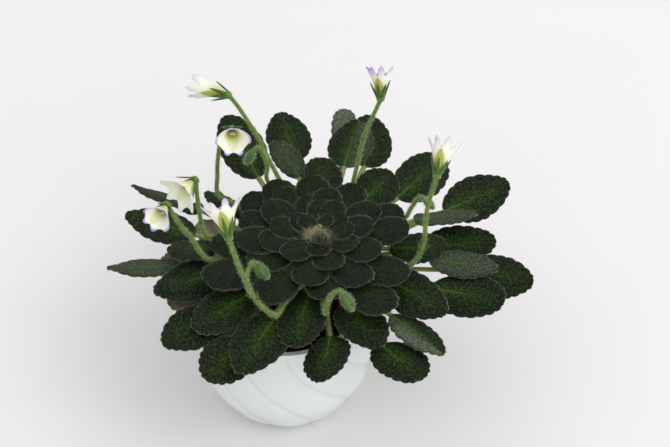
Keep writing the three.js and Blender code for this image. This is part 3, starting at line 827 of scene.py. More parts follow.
def leaf_top_material(name, dark, light, bright, rib_colour, margin, zone, rim):
    material, tree, shader = new_material(name, 0.62, Sheen_Weight=0.03, Sheen_Roughness=0.4,
                                          Specular_IOR_Level=0.15)
    along, across = along_and_across(tree)
    mask, height = mottle(tree, 1500.0, 0.09)
    cloud, _ = mottle(tree, 260.0, 0.3)
    colour = blend(tree, mask, dark, light)
    # Painted shade: faint dark stripes across the blade stand for the relief of its side veins.
    vein_shade = calculate(tree, "SINE", calculate(tree, "MULTIPLY", along, STRIPES * 2 * math.pi))
    colour = tinge(tree, colour, ramp(tree, vein_shade, -0.1, 1.0), 0.45, dark)
    pale = blend(tree, mask, paint(84, 94, 76), paint(128, 136, 116))
    colour = blend(tree, painted(tree, "pale"), colour, pale)
    zone_share = calculate(tree, "MULTIPLY", fade(tree, across, 0.0, 0.62), fade(tree, along, 0.35, 0.95))
    zone_share = calculate(tree, "MULTIPLY", zone_share, calculate(tree, "MULTIPLY_ADD", cloud, 0.7, 0.4))
    grainy = calculate(tree, "MULTIPLY_ADD", mask, 0.7 * zone, 0.3 * zone)
    zone_share = calculate(tree, "MULTIPLY", zone_share, grainy, clamp=True)
    colour = blend(tree, zone_share, colour, bright)
    rib = calculate(tree, "MULTIPLY", fade(tree, across, 0.01, 0.085), fade(tree, along, 0.1, 0.75))
    colour = tinge(tree, colour, rib, 0.8, rib_colour)
    colour = tinge(tree, colour, ramp(tree, across, rim, 1.0), 0.55, margin)
    colour = blend(tree, fade(tree, along, 0.03, 0.13), colour, paint(162, 172, 104))
    finish_material(tree, shader, colour, height, 0.00035, 0.6)
    return material


leaf_top = leaf_top_material("leaf_top", paint(7, 13, 4), paint(46, 64, 28), paint(60, 100, 20),
                             paint(82, 112, 34), paint(34, 40, 34), 0.75, 0.72)
young_top = leaf_top_material("young_leaf_top", paint(5, 11, 4), paint(33, 52, 24), paint(34, 66, 20),
                              paint(38, 62, 28), paint(66, 74, 58), 0.45, 0.86)
underside, tree, shader = new_material("leaf_underside", 0.7)
along, _ = along_and_across(tree)
colour, height = mottled(tree, 900.0, 0.25, paint(92, 112, 70), paint(128, 146, 98))
colour = blend(tree, fade(tree, along, 0.03, 0.2), colour, paint(158, 166, 98))
finish_material(tree, shader, colour, height, 0.0002, 0.4)

dry_top, tree, shader = new_material("dry_leaf", 0.8)
_, across = along_and_across(tree)
colour, height = mottled(tree, 700.0, 0.3, paint(98, 90, 72), paint(134, 124, 102))
colour = tinge(tree, colour, ramp(tree, across, 0.7, 1.0), 0.5, paint(88, 72, 54))
finish_material(tree, shader, colour, height, 0.0003, 0.5)
print("leaf materials made")

# %% [markdown]
# The outer leaves are copied from the master one by one and each stands for its own node of the frame.

# %% Outer leaves
def make_blade(leaf, master, grid, top, bottom):
    blade = copy_of(master, leaf_points(leaf, grid, grid.row, grid.across, grid.side))
    cover(blade, top, bottom)
    return blade


for name, leaf in (outer_leaves | old_leaves).items():
    top, bottom, slot = leaf_top, underside, "leaf"
    if name in old_leaves:
        top, bottom, slot = dry_top, dry_top, "dry_leaf"
    blade = make_blade(leaf, outer_master, outer_grid, top, bottom)
    strength, half = PALE_LEAVES.get(name, (0.0, 0))
    part = smoothstep(half * outer_grid.across, -0.3, 0.5) if half else np.ones(len(outer_grid.across))
    paint_on(blade, "pale", strength * part)
    blade.data.shade_smooth()
    settle(blade, name + "_blade", slot, name)
print("a leaf spans", [round(value * 1000, 1) for value in blade.dimensions])

# %% [markdown]
# The heart of the rosette is one grown body: a short woody stem and the inner leaves that are joined to
# its top. The stem is a tube with a rough bark, and it fills the hole in the soil.

# %% The heart of the rosette
STEM_LEVELS = [(0.0243, 0, 1), (0.0415, 0, 1), (0.046, 1, 1), (0.060, 1, 1), (0.0665, 1, 0.4)]
STEM_SIDES = 36
STEM_RINGS = 40

stem = make_tube(STEM_SIDES, STEM_RINGS + 2)
angle, ring = tube_grid(stem)
level = np.linspace(STEM_LEVELS[0][0], STEM_LEVELS[-1][0], STEM_RINGS)
level = np.concatenate([[level[0]], level, [level[-1]]])
heights = [row[0] for row in STEM_LEVELS]
lean = np.interp(level, heights, [row[1] for row in STEM_LEVELS])
girth = STEM_RADIUS * 0.97 * np.interp(level, heights, [row[2] for row in STEM_LEVELS])
girth[[0, -1]] = 0
bark = 1 + 0.03 * np.sin(angle * 7 + ring * 0.9) * np.sin(ring * 0.7)
radius = girth[ring] * bark
foot = np.array([*STEM_FOOT, 0])
centre = foot + lean[ring][:, None] * (CROWN - foot) * (1, 1, 0)
write_points(stem, round_points(radius, angle, level[ring]) + centre)
close_and_orient(stem)

bark_material, tree, shader = new_material("woody_stem", 0.9)
colour, height = mottled(tree, 500.0, 0.25, paint(62, 48, 30), paint(118, 108, 66))
finish_material(tree, shader, colour, height, 0.0006, 0.8)
heart_parts = [stem]
stem.data.materials.append(bark_material)
heart_parts += [make_blade(leaf, inner_master, inner_grid, young_top, underside) for leaf in inner_leaves]
heart = join(heart_parts)
heart.data.shade_smooth()
settle(heart, "inner_rosette", "leaf", "rosette_heart")
bpy.data.objects.remove(outer_master)
bpy.data.objects.remove(inner_master)
print("heart faces:", len(heart.data.polygons))

# %% [markdown]
# A flower stalk leaves the stem between the outer and the inner leaves, runs out under the inner ones
# and then turns up. The table gives the azimuth it leaves at, its points above the leaves, the way the
# flower faces, the radius its lobes spread to, how much shorter its upper lobe is, the angle that its
# lower lip points to, its size, how far along the stalk its two bracts sit, where its lobes come free of
# each other, and how strong its blush is.

# %% The table of flowers and buds
STALK_RADIUS = 0.00085
STALK_TURN = 0.007
STALK_DROP = 0.00275
LEVEL_REACH = 0.043
STALK_RINGS = 70
STALK_SIDES = 12
FLOWERS = {
    "flower_1": SimpleNamespace(
        start=108, face=(-0.84, 0.53, -0.09), spread=0.0053, lip=0.22, turn=-123, size=1.2, bracts=0,
        free=0.62, blush=0.5,
        route=[(-0.0025, 0.043, 0.0655), (-0.0065, 0.0465, 0.0725), (-0.01, 0.05, 0.079),
               (-0.0175, 0.055, 0.0905), (-0.021, 0.0565, 0.095)]),
    "flower_2": SimpleNamespace(
        start=150, face=(0.12, -0.94, 0.28), spread=0.0068, lip=0.55, turn=-85, size=0.7, bracts=0.5,
        free=0.84, blush=1.1,
        route=[(-0.025, 0.0345, 0.065), (-0.025, 0.034, 0.075), (-0.0245, 0.034, 0.082),
               (-0.023, 0.034, 0.09), (-0.019, 0.036, 0.095)]),
    "flower_3": SimpleNamespace(
        start=174, face=(-0.66, -0.72, -0.21), spread=0.0087, lip=0.5, turn=-161, size=0.76, bracts=0,
        free=0.74, blush=0.1,
        route=[(-0.0285, 0.014, 0.063), (-0.03, 0.0145, 0.0685), (-0.0305, 0.015, 0.0745),
               (-0.031, 0.016, 0.081), (-0.031, 0.0165, 0.0875)]),
    "flower_4": SimpleNamespace(
        start=197, face=(-0.3, -0.92, 0.05), spread=0.0057, lip=0.5, turn=-152, size=0.63, bracts=0,
        free=0.84, blush=1.6,
        route=[(-0.027, 0.0025, 0.0615), (-0.0295, 0.0015, 0.066), (-0.0325, 0.0015, 0.073),
               (-0.036, 0.0005, 0.08), (-0.04, 0.002, 0.088)]),
    "flower_5": SimpleNamespace(
        start=252, face=(-0.23, 0.69, 0.68), spread=0.0068, lip=0.1, turn=-90, size=0.95, bracts=0.62,
        free=0.66, blush=0.8,
        route=[(-0.002, -0.0245, 0.06), (-0.0065, -0.0275, 0.067), (-0.009, -0.028, 0.072),
               (-0.0135, -0.0285, 0.086), (-0.0165, -0.0285, 0.099)]),
    "flower_6": SimpleNamespace(
        start=65, face=(-0.02, 0.53, 0.85), spread=0.0052, lip=0.3, turn=-108, size=0.89, bracts=0,
        free=0.62, blush=1.3,
        route=[(0.025, 0.0415, 0.0645), (0.026, 0.0425, 0.069), (0.029, 0.0455, 0.0835),
               (0.0305, 0.046, 0.088), (0.035, 0.047, 0.1)]),
    "flower_7": SimpleNamespace(
        start=338, face=(0.23, 0.73, 0.65), spread=0.0059, lip=0.1, turn=-107, size=0.99, bracts=0.55,
        free=0.66, blush=0.6,
        route=[(0.045, 0, 0.061), (0.0485, -0.0005, 0.067), (0.05, 0.0005, 0.0725),
               (0.0505, 0.003, 0.0835), (0.0535, 0.005, 0.098)]),
}
BUDS = {
    "bud_1": SimpleNamespace(
        start=130, size=1,
        route=[(-0.0074, 0.0435, 0.0657), (-0.007, 0.0447, 0.071), (-0.0105, 0.0447, 0.0798),
               (-0.0122, 0.0441, 0.0777)]),
    "bud_2": SimpleNamespace(
        start=228, size=1.15,
        route=[(-0.011, -0.0135, 0.06), (-0.0126, -0.012, 0.066), (-0.0102, -0.0092, 0.0713),
               (-0.0089, -0.0096, 0.07)]),
    "bud_3": SimpleNamespace(
        start=276, size=1.25,
        route=[(0.015, -0.023, 0.0595), (0.0158, -0.022, 0.0635), (0.0172, -0.0222, 0.0676),
               (0.0202, -0.0217, 0.0693), (0.0214, -0.0222, 0.0676)]),
    "bud_4": SimpleNamespace(
        start=16, size=0.9,
        route=[(0.044, 0.024, 0.0625), (0.0465, 0.0235, 0.0685), (0.0498, 0.0226, 0.0744),
               (0.0512, 0.0222, 0.0732)]),
}


def stalk_line(start, route):
    out = np.array(route[0][:2]) - CROWN[:2]
    reach = np.hypot(*out)
    first = np.array([math.cos(math.radians(start)), math.sin(math.radians(start))])
    under = []
    distances = (STEM_RADIUS + CLEARANCE + STALK_RADIUS * 0.4, reach * 0.55, reach - STALK_TURN)
    for step, distance in enumerate(distances):
        way = first + (out / reach - first) * step / 2
        way = way / np.hypot(*way) * distance
        height = CROWN[2] - STALK_DROP + LEAF_CLIMB * (distance - LEVEL_REACH) + ROSETTE_TILT * way[1]
        under.append((CROWN[0] + way[0], CROWN[1] + way[1], height))
    return smooth_route(under + route, STALK_RINGS)


stalk_lines = {name: stalk_line(row.start, row.route) for name, row in (FLOWERS | BUDS).items()}
print("stalks:", len(stalk_lines))

# %% [markdown]
# The stalk itself is a tube of twelve sides that is bent along its line. The frame of directions is
# carried from ring to ring without turning, so the tube doesn't wring itself in the hook of a bud.

# %% Stalks
stalk_master = make_tube(STALK_SIDES, STALK_RINGS)
stalk_angle, stalk_ring = tube_grid(stalk_master)


def carried_frame(ways):
    """Two directions across the line at every ring, each as little turned from the last as can be."""
    side = np.cross(ways[0], (0.3, 0.2, 1.0))
    sides = []
    for way in ways:
        side = side - way * (side @ way)
        side = side / np.linalg.norm(side)
        sides.append(side)
    sides = np.array(sides)
    return sides, np.cross(ways, sides)


def stalk_girth(share):
    """Thick where it leaves the stem, thinnest under the flower, and swollen into its receptacle."""
    return STALK_RADIUS * (1.08 - 0.22 * share) * (1 + 0.25 * smoothstep(share, 0.97, 1.0))


def make_stalk(name):
    line, ways = stalk_lines[name]
    sides, ups = carried_frame(ways)
    girth = stalk_girth(stalk_ring / (STALK_RINGS - 1))
    cosine, sine = np.cos(stalk_angle)[:, None], np.sin(stalk_angle)[:, None]
    around = cosine * sides[stalk_ring] + sine * ups[stalk_ring]
    tube = copy_of(stalk_master, line[stalk_ring] + around * girth[:, None])
    close_ends(tube, bpy.ops.mesh.edge_face_add)
    return tube


stalks = {name: make_stalk(name) for name in stalk_lines}
bpy.data.objects.remove(stalk_master)
print("faces of a stalk:", len(stalks["bud_1"].data.polygons))

# %% [markdown]
# Stalks, bracts and sepals share one finish: a light green skin with long faint streaks and, on the sepals,
# a darker tip. It is slightly translucent, so a little light is let through under the skin.

# %% Stalk and sepal materials
def green_skin(name, dark, light, fineness):
    material, tree, shader = new_material(name, 0.55, Subsurface_Weight=0.1, Subsurface_Scale=0.0008,
                                          Sheen_Weight=0.25, Specular_IOR_Level=0.3)
    colour, height = mottled(tree, fineness, 0.22, dark, light)
    colour = tinge(tree, colour, painted(tree, "keel"), 0.6, light)
    finish_material(tree, shader, colour, height, 0.0001, 0.4)
    return material


stalk_skin = green_skin("stalk_skin", paint(70, 102, 26), paint(112, 142, 46), 700.0)
sepal_skin = green_skin("sepal_skin", paint(34, 66, 18), paint(80, 114, 34), 900.0)
print("green skins:", stalk_skin.name, sepal_skin.name)

# %% [markdown]
# A sepal or a bract is a narrow, cupped, pointed leaflet. One is modelled flat, as a grid with a
# thickness, and every copy is wrapped on a cone that stands on the stalk. The receptacle that the sepals
# grow from is a tube pulled to a small ribbed cup.

# %% Leaflets and receptacles
SEPAL_ROWS = 12
SEPAL_COLUMNS = 4
SEPALS = 5
SEPAL_LENGTH = 0.0062
SEPAL_WIDTH = 0.0013
SEPAL_START = 0.0002
SEPAL_FOOT_RADIUS = 0.0013
SEPAL_TIP_RADIUS = 0.0019
BRACT_LENGTH = 0.0040
BRACT_WIDTH = 0.0011
BRACT_START = -0.0004
BRACT_FOOT_RADIUS = 0.0007
BRACT_TIP_RADIUS = 0.0022
LEAFLET_THICKNESS = 0.0003
LEAFLET_CUP = 0.0003
LEAFLET_CURL = 1.2
CROWDING = 0.44
RECEPTACLE_RADIUS = 0.0016
RECEPTACLE_LENGTH = 0.0024
RECEPTACLE_SIDES = 18
RECEPTACLE_RINGS = 10

leaflet_master = make_grid(SEPAL_ROWS, SEPAL_COLUMNS)
thicken(leaflet_master, 1)
leaflet_grid = read_points(leaflet_master)
leaflet_grid[:, 2] = np.sign(leaflet_grid[:, 2])
receptacle_master = make_tube(RECEPTACLE_SIDES, RECEPTACLE_RINGS)


def aim(points, seat, way):
    """Turns points made along +Z so that they run along a direction, and moves them to their seat."""
    turn = Vector((0, 0, 1)).rotation_difference(Vector(way)).to_matrix()
    return points @ np.array(turn).T + np.array(seat)


def make_leaflet(around, start, length, width, foot_radius, tip_radius):
    share = (leaflet_grid[:, 0] + 1) / 2
    half = width / 2 * np.maximum(np.sin(math.pi * (0.3 + 0.7 * share)) ** 0.7, 0.02)
    radius = foot_radius + (tip_radius - foot_radius) * share ** LEAFLET_CURL
    radius = radius + leaflet_grid[:, 2] * LEAFLET_THICKNESS / 2
    radius = radius + LEAFLET_CUP * (1 - leaflet_grid[:, 1] ** 2) * np.sin(math.pi * share)
    turn = around + leaflet_grid[:, 1] * half / np.maximum(radius, foot_radius)
    leaflet = copy_of(leaflet_master, round_points(radius, turn, start + length * share))
    paint_on(leaflet, "keel", (1 - np.abs(leaflet_grid[:, 1])) * (1 - share) ** 0.5)
    leaflet.data.materials.append(sepal_skin)
    return leaflet


def make_receptacle():
    angle, ring = tube_grid(receptacle_master)
    turn = ring / (RECEPTACLE_RINGS - 1) * math.pi
    radius = RECEPTACLE_RADIUS * np.sin(turn) ** 0.8 * (1 + 0.05 * np.cos(SEPALS * angle))
    height = RECEPTACLE_LENGTH * (0.16 - 0.5 * np.cos(turn))
    cup = copy_of(receptacle_master, round_points(radius, angle, height))
    close_and_orient(cup)
    cup.data.materials.append(stalk_skin)
    return cup


print("points of a leaflet:", len(leaflet_grid))

# %% [markdown]
# Five sepals hold each flower. They crowd towards its lower lip, and their tips spread as wide as the
# corolla needs. Every sepal is made upright, turned to face as its flower does, and joined to the stalk,
# because stalk, bracts and sepals grow as one body on the real plant.

# %% Flower stalks in place
def crowded(even):
    """Sepals and lobes start evenly round a flower's axis, and crowd towards its lower lip."""
    return even - CROWDING * np.sin(even)


def make_calyx(flower):
    calyx = [make_receptacle()]
    for number in range(SEPALS):
        around = crowded(number * 2 * math.pi / SEPALS) + math.radians(flower.turn)
        length = SEPAL_LENGTH * (0.92 + 0.2 * draw(number, flower.start))
        spread = (0.34 + 0.08 * draw(number, 3)) * flower.spread / math.sqrt(flower.size)
        calyx.append(make_leaflet(around, SEPAL_START, length, SEPAL_WIDTH, SEPAL_FOOT_RADIUS,
                                  SEPAL_TIP_RADIUS + spread))
    return calyx


for name, flower in FLOWERS.items():
    line, ways = stalk_lines[name]
    parts = [stalks[name]]
    stalks[name].data.materials.append(stalk_skin)
    for piece in make_calyx(flower):
        write_points(piece, aim(read_points(piece), line[-1], flower.face))
        parts.append(piece)
    if flower.bracts:
        place = round(flower.bracts * (STALK_RINGS - 1))
        for around in (0, math.pi):
            bract = make_leaflet(around, BRACT_START, BRACT_LENGTH, BRACT_WIDTH, BRACT_FOOT_RADIUS,
                                 BRACT_TIP_RADIUS)
            write_points(bract, aim(read_points(bract), line[place], ways[place]))
            parts.append(bract)
    whole = join(parts)
    close_and_orient(whole, merge=1e-6)
    whole.data.shade_smooth()
    settle(whole, name + "_stem", "stalk", name + "_stalk")
print("faces of a flower's stalk:", len(whole.data.polygons))

# %% [markdown]
# Petals scatter light inside, so they glow at their edges. Their colour is cream, turns to lavender
# where the blush was painted, and to yellow green at the base and along the flame. The inner face is a
# little stronger in colour than the outer one.

# %% Petal and anther materials
def petal_material(name, lower, flame_colour, lavender, flame_share):
    material, tree, shader = new_material(name, 0.5, Subsurface_Weight=0.2, Subsurface_Scale=0.0012,
                                          Sheen_Weight=0.15)
    colour, height = mottled(tree, 420.0, 0.3, paint(231, 232, 212), paint(245, 245, 230))
    colour = tinge(tree, colour, painted(tree, "blush"), 0.9, lavender)
    colour = tinge(tree, colour, painted(tree, "green_base"), 0.95, lower)
    colour = tinge(tree, colour, painted(tree, "green_flame"), flame_share, flame_colour)
    finish_material(tree, shader, colour, height, 0.0001, 0.4)
    return material


petal_outside = petal_material("petal_outside", paint(206, 212, 120), paint(158, 174, 54),
                               paint(182, 168, 224), 0.95)
petal_inside = petal_material("petal_inside", paint(168, 178, 62), paint(198, 204, 104),
                              paint(160, 134, 216), 0.4)

anther_skin, tree, shader = new_material("anther", 0.6)
colour, height = mottled(tree, 2400.0, 0.2, paint(140, 134, 66), paint(224, 216, 158))
finish_material(tree, shader, colour, height, 0.0001, 0.6)
print("petal materials made")

# %% [markdown]
# The corolla is a funnel that parts into five lobes. Two pairs crowd about the lower lip, and the fifth,
# opposite them, is shorter and bends in like a hood. One petal is a flat grid at first: its lower rows
# will span a fifth of the funnel, and its upper rows draw in to a rounded lobe.

# %% The petal master
LOBES = 5
PETAL_ROWS = 30
PETAL_COLUMNS = 12
TUBE_ROWS = 0.5
LOBE_WIDTH = 0.0036
COROLLA_START = 0.0017
COROLLA_LENGTH = 0.0124
COROLLA_FOOT = 0.0012
COROLLA_FLARE = 1.15
COROLLA_BEND = 0.25
PETAL_THICKNESS = 0.00028
PETAL_WAVE = 0.00022
PETAL_CUP = 0.00045
FLAME_WIDTH = 1.3
LIP_FALL = 3
HOODING = 0.7

petal_master = make_grid(PETAL_ROWS, PETAL_COLUMNS)
petal_grid = read_points(petal_master)
petal_row, petal_across = (petal_grid[:, 0] + 1) / 2, petal_grid[:, 1]
petal_tube = np.clip(petal_row / TUBE_ROWS, 0, 1)
step = np.clip((petal_row - TUBE_ROWS) / (1 - TUBE_ROWS), 0, 1)
rounding = np.clip((step - 0.4) / 0.6, 0, 1) * math.pi / 2
petal_lobe = np.where(step < 0.4, step * 1.25, 0.5 + 0.5 * np.sin(rounding))
petal_end = np.cos(rounding)
print("points of a petal:", len(petal_row))

# %% [markdown]
# A formula now opens the flower. Five copies of the petal are turned round the axis and their edges are
# merged, so the funnel closes while the lobes stay free, and a Solidify modifier gives them body and a
# second material inside. Three values are painted on the points: the blush of the margin, the
# yellow-green flame that points to the notch of the lower lip, and the green of the base.

# %% Corollas
def petal_points(flower, number):
    """One petal of a corolla that stands on the origin and faces +Z, and how green it is inside and out."""
    bend = COROLLA_BEND * (flower.spread / COROLLA_LENGTH) ** 2
    joined = math.pi / LOBES
    middle = (2 * number + 1) * joined
    past_tube = petal_row > TUBE_ROWS + 1e-6
    lobe = petal_lobe * (0.94 + 0.1 * draw(number, 9))
    half = np.full(len(petal_row), joined)
    for _ in range(3):
        angle = crowded(middle + petal_across * half)
        hood = flower.lip * ((1 - np.cos(angle)) / 2) ** LIP_FALL
        along = (1 - hood) * (flower.free * petal_tube + (1 - flower.free) * lobe)
        radius = COROLLA_FOOT + (flower.spread - COROLLA_FOOT) * along ** COROLLA_FLARE
        radius = radius * (1 - HOODING * hood)
        narrow = np.minimum(LOBE_WIDTH / 2 / radius, joined)
        half = narrow + (joined - narrow) * np.clip(1 - petal_lobe / 0.5, 0, 1) ** 1.6
        half = np.where(past_tube, half * petal_end, joined)
    height = COROLLA_START + COROLLA_LENGTH * flower.size * (along - bend * along ** 2)
    ripple = np.sin(5 * petal_across + 4 * petal_lobe + 2 * number)
    wave = PETAL_WAVE * ripple * petal_lobe * np.abs(petal_across)
    radius = radius + wave + PETAL_CUP * petal_lobe * (1 - petal_across ** 2) * petal_end
    from_notch = np.abs((angle + math.pi) % (2 * math.pi) - math.pi)
    flame = FLAME_WIDTH * np.clip(1 - along / flower.free, 0, 1) ** 0.8
    flame = 1 - smoothstep(from_notch / np.maximum(flame, 0.02), 0.7, 1.15)
    angle = angle + math.radians(flower.turn)
    base = 1 - smoothstep(along, 0.1, 0.6)
    return round_points(radius, angle, height), flame, base


def make_corolla(flower):
    petals = []
    for number in range(LOBES):
        points, flame, base = petal_points(flower, number)
        petal = copy_of(petal_master, points)
        margin = np.maximum(np.abs(petal_across) ** 2.5, smoothstep(petal_lobe, 0.15, 0.85))
        strength = flower.blush * (0.55 + 0.7 * draw(number, flower.start))
        paint_on(petal, "blush", margin * smoothstep(petal_lobe, 0.0, 0.35) * strength)
        paint_on(petal, "green_flame", flame)
        paint_on(petal, "green_base", base)
        cover(petal, petal_outside, petal_inside)
        petals.append(petal)
    corolla = join(petals)
    close_and_orient(corolla, merge=4e-6)
    faces = corolla.data.polygons
    if sum(face.normal.x * face.center.x + face.normal.y * face.center.y for face in faces) < 0:
        edit_whole(corolla, bpy.ops.mesh.flip_normals)
    thicken(corolla, PETAL_THICKNESS, offset=-1, second_skin=1)
    return corolla


print("petals of a corolla:", LOBES)

# %% [markdown]
# Each flower gets its corolla, with two anthers and a style that stand inside the tube.

# %% Flowers in place
ANTHER_RADIUS = 0.00062
ANTHER_HEIGHT = 0.0048


def make_anthers():
    parts = []
    for across, up, length in ((-0.8, 0, 1.5), (0.8, 0, 1.5), (0, 1.6, 3.5)):
        bpy.ops.mesh.primitive_uv_sphere_add(segments=12, ring_count=8, radius=ANTHER_RADIUS)
        grain = bpy.context.object
        thin = 0.45 if up else 1.0
        points = read_points(grain) * (thin, thin, length)
        write_points(grain, points + (across * ANTHER_RADIUS, up * ANTHER_RADIUS * 0.6, ANTHER_HEIGHT))
        grain.data.materials.append(anther_skin)
        parts.append(grain)
    return parts


for name, flower in FLOWERS.items():
    corolla = join([make_corolla(flower), *make_anthers()])
    write_points(corolla, aim(read_points(corolla), stalk_lines[name][0][-1], flower.face))
    corolla.data.shade_smooth()
    settle(corolla, name + "_petals", "petal", name + "_corolla")
print("faces of a corolla:", len(corolla.data.polygons))

# %% [markdown]
# A bud nods on its hooked stalk: five sepals pressed over each other round a tip that is still yellow
# green. The body is one egg-shaped tube with five low ribs, and the grooves between them are painted
# darker by a value on its points.

# %% Buds
BUD_LENGTH = 0.0060
BUD_RADIUS = 0.00175
BUD_SIDES = 40
BUD_RINGS = 20

bud_skin, tree, shader = new_material("bud_skin", 0.55, Sheen_Weight=0.3)
colour, height = mottled(tree, 800.0, 0.25, paint(42, 78, 20), paint(84, 124, 38))
colour = blend(tree, painted(tree, "seam"), colour, paint(28, 54, 14))
colour = blend(tree, painted(tree, "tip"), colour, paint(156, 190, 58))
finish_material(tree, shader, colour, height, 0.0001, 0.4)
bud_master = make_tube(BUD_SIDES, BUD_RINGS)


def bud_profile(share):
    """Radius and height of a bud of size 1 at a share of the way from its foot to its tip."""
    return BUD_RADIUS * np.sin(math.pi * share ** 0.85) ** 0.62, BUD_LENGTH * (share * 1.12 - 0.13)


for name, bud in BUDS.items():
    line, ways = stalk_lines[name]
    angle, ring = tube_grid(bud_master)
    share = ring / (BUD_RINGS - 1)
    rib = np.abs(np.cos(2.5 * angle + share))
    radius, height = bud_profile(share)
    radius = radius * bud.size * (0.9 + 0.1 * rib ** 0.5)
    points = aim(round_points(radius, angle, height * bud.size), line[-1], ways[-1])
    body = copy_of(bud_master, points)
    paint_on(body, "seam", (1 - smoothstep(rib, 0.05, 0.4)) * 0.8)
    paint_on(body, "tip", smoothstep(share, 0.78, 0.98) * 0.8)
    close_and_orient(body)
    body.data.materials.append(bud_skin)
    stalks[name].data.materials.append(stalk_skin)
    whole = join([body, stalks[name]])
    whole.data.shade_smooth()
    settle(whole, name + "_nodding", "stalk", name)
for master in (leaflet_master, receptacle_master, petal_master, bud_master):
    bpy.data.objects.remove(master)
print("faces of a bud:", len(whole.data.polygons))

# %% [markdown]
# Everything green on this plant is hairy, and from a step away the hairs are what softens it: they grey
# the leaves, freckle them and give every edge a pale rim. A particle system would show them but can't be
# carried over as a mesh, and there are far too many to model by hand. So each hair is one tiny spike
# of four triangles, and all the hairs of a region are written into one mesh.

# %% Helpers for hairs
HAIR_LEAN = 0.55


def gather(pairs):
    return (np.concatenate(part) for part in zip(*pairs))


def make_hairs(name, material, slot, roots, ways, length_range, width):
    """Makes one spike for each root, and notes on its points how far they are from root to tip."""
    count = len(roots)
    lengths = random.uniform(*length_range, count)
    ways = unit(ways)
    first = unit(np.cross(ways, random.normal(size=(count, 3))))
    second = np.cross(ways, first)
    corners = [first, -0.5 * first + 0.87 * second, -0.5 * first - 0.87 * second]
    feet = [roots + corner * width * 0.58 for corner in corners]
    points = np.stack([*feet, roots + ways * lengths[:, None]], axis=1)
    base = np.arange(count)[:, None, None] * 4
    faces = base + np.array([[0, 2, 1], [0, 1, 3], [1, 2, 3], [2, 0, 3]])
    mesh = bpy.data.meshes.new(name)
    mesh.from_pydata(points.reshape(-1, 3), [], faces.reshape(-1, 3), shade_flat=False)
    mesh.materials.append(material)
    hairs = bpy.data.objects.new(name, mesh)
    bpy.context.collection.objects.link(hairs)
    paint_on(hairs, "tip", np.tile([0.0, 0.0, 0.0, 1.0], count))
    settle(hairs, name, slot)
    print(name, count)


def hair_material(name, root, tip):
    material, tree, shader = new_material(name, 0.6, Specular_IOR_Level=0.2)
    darker, _ = mottled(tree, 300.0, 0.3, root, tip)
    finish_material(tree, shader, blend(tree, painted(tree, "tip"), darker, tip))
    return material


print("hair helpers ready")

# %% [markdown]
# The hairs of a blade are sown evenly over its area, stand on its surface and lean outwards. The
# direction of the surface is found from two neighbouring points of the same formula that shaped the leaf. A
# second sowing follows the edge and makes its pale fringe. The table lists the sowings in turn, each with
# its leaves and with the shortest and the longest of its hairs.

# %% Hairs of the leaves
LEAF_HAIR_WIDTH = 0.00003
FRINGE_WIDTH = 0.00004
ROOT_DEPTH = 0.00005
OUTER_HAIRS_PER_LEAF = 1350
INNER_HAIRS_PER_AREA = 4.0e6
FRINGE_SPACING = 0.0001
PETIOLE_HAIR_SPACING = 0.0003

leaf_hair = hair_material("leaf_hair", paint(40, 56, 28), paint(98, 110, 76))
fringe_hair = hair_material("fringe_hair", paint(128, 134, 108), paint(196, 198, 178))


def blade_frame(leaf, grid, row, across, side):
    """Root points on a blade with the outward normal, the way to the edge and the way to the tip."""
    spot = leaf_points(leaf, grid, row, across, side)
    further = leaf_points(leaf, grid, row + 0.2, across, side) - spot
    aside = leaf_points(leaf, grid, row, across + 0.03, side) - spot
    normal = unit(np.cross(further, aside))
    return spot, normal * np.sign(normal[:, 2:]), unit(aside), unit(further)


def sow_surface(leaf, grid):
    count = int(INNER_HAIRS_PER_AREA * leaf.length * leaf.width)
    if grid is outer_grid:
        count = OUTER_HAIRS_PER_LEAF
    row = PETIOLE_ROWS + (grid.rows - PETIOLE_ROWS) * random.uniform(0.02, 0.985, count * 2)
    across = random.uniform(-0.97, 0.97, count * 2)
    part = blade_outline(leaf, grid, row, np.sign(across))
    kept = random.uniform(0, leaf.width / 2, count * 2) < part.half
    row, across = row[kept], across[kept]
    spot, normal, aside, further = blade_frame(leaf, grid, row, across, np.ones(len(row)))
    lean = random.normal(scale=0.35, size=(len(row), 3))
    ways = normal + HAIR_LEAN * (further * 0.6 + aside * across[:, None]) + lean
    return spot - normal * ROOT_DEPTH, ways


def sow_edge(leaf, grid):
    length = 2.6 * leaf.length
    count = int(length / FRINGE_SPACING)
    row = PETIOLE_ROWS + (grid.rows - PETIOLE_ROWS) * random.uniform(0.0, 0.97, count)
    on_petiole = int(2 * max(leaf.reach - leaf.length - leaf.root, 0) / PETIOLE_HAIR_SPACING)
    row = np.concatenate([row, random.uniform(0.5, PETIOLE_ROWS, on_petiole)])
    count = len(row)
    across = np.where(random.uniform(size=count) < 0.5, -0.995, 0.995)
    spot, normal, aside, further = blade_frame(leaf, grid, row, across, np.zeros(count))
    lean = random.normal(scale=0.3, size=(count, 3))
    share = ((row - PETIOLE_ROWS) / (grid.rows - PETIOLE_ROWS))[:, None]
    ways = aside * np.sign(across)[:, None] + further * (0.2 + 0.9 * share ** 4) + normal * 0.35 + lean
    return spot, ways


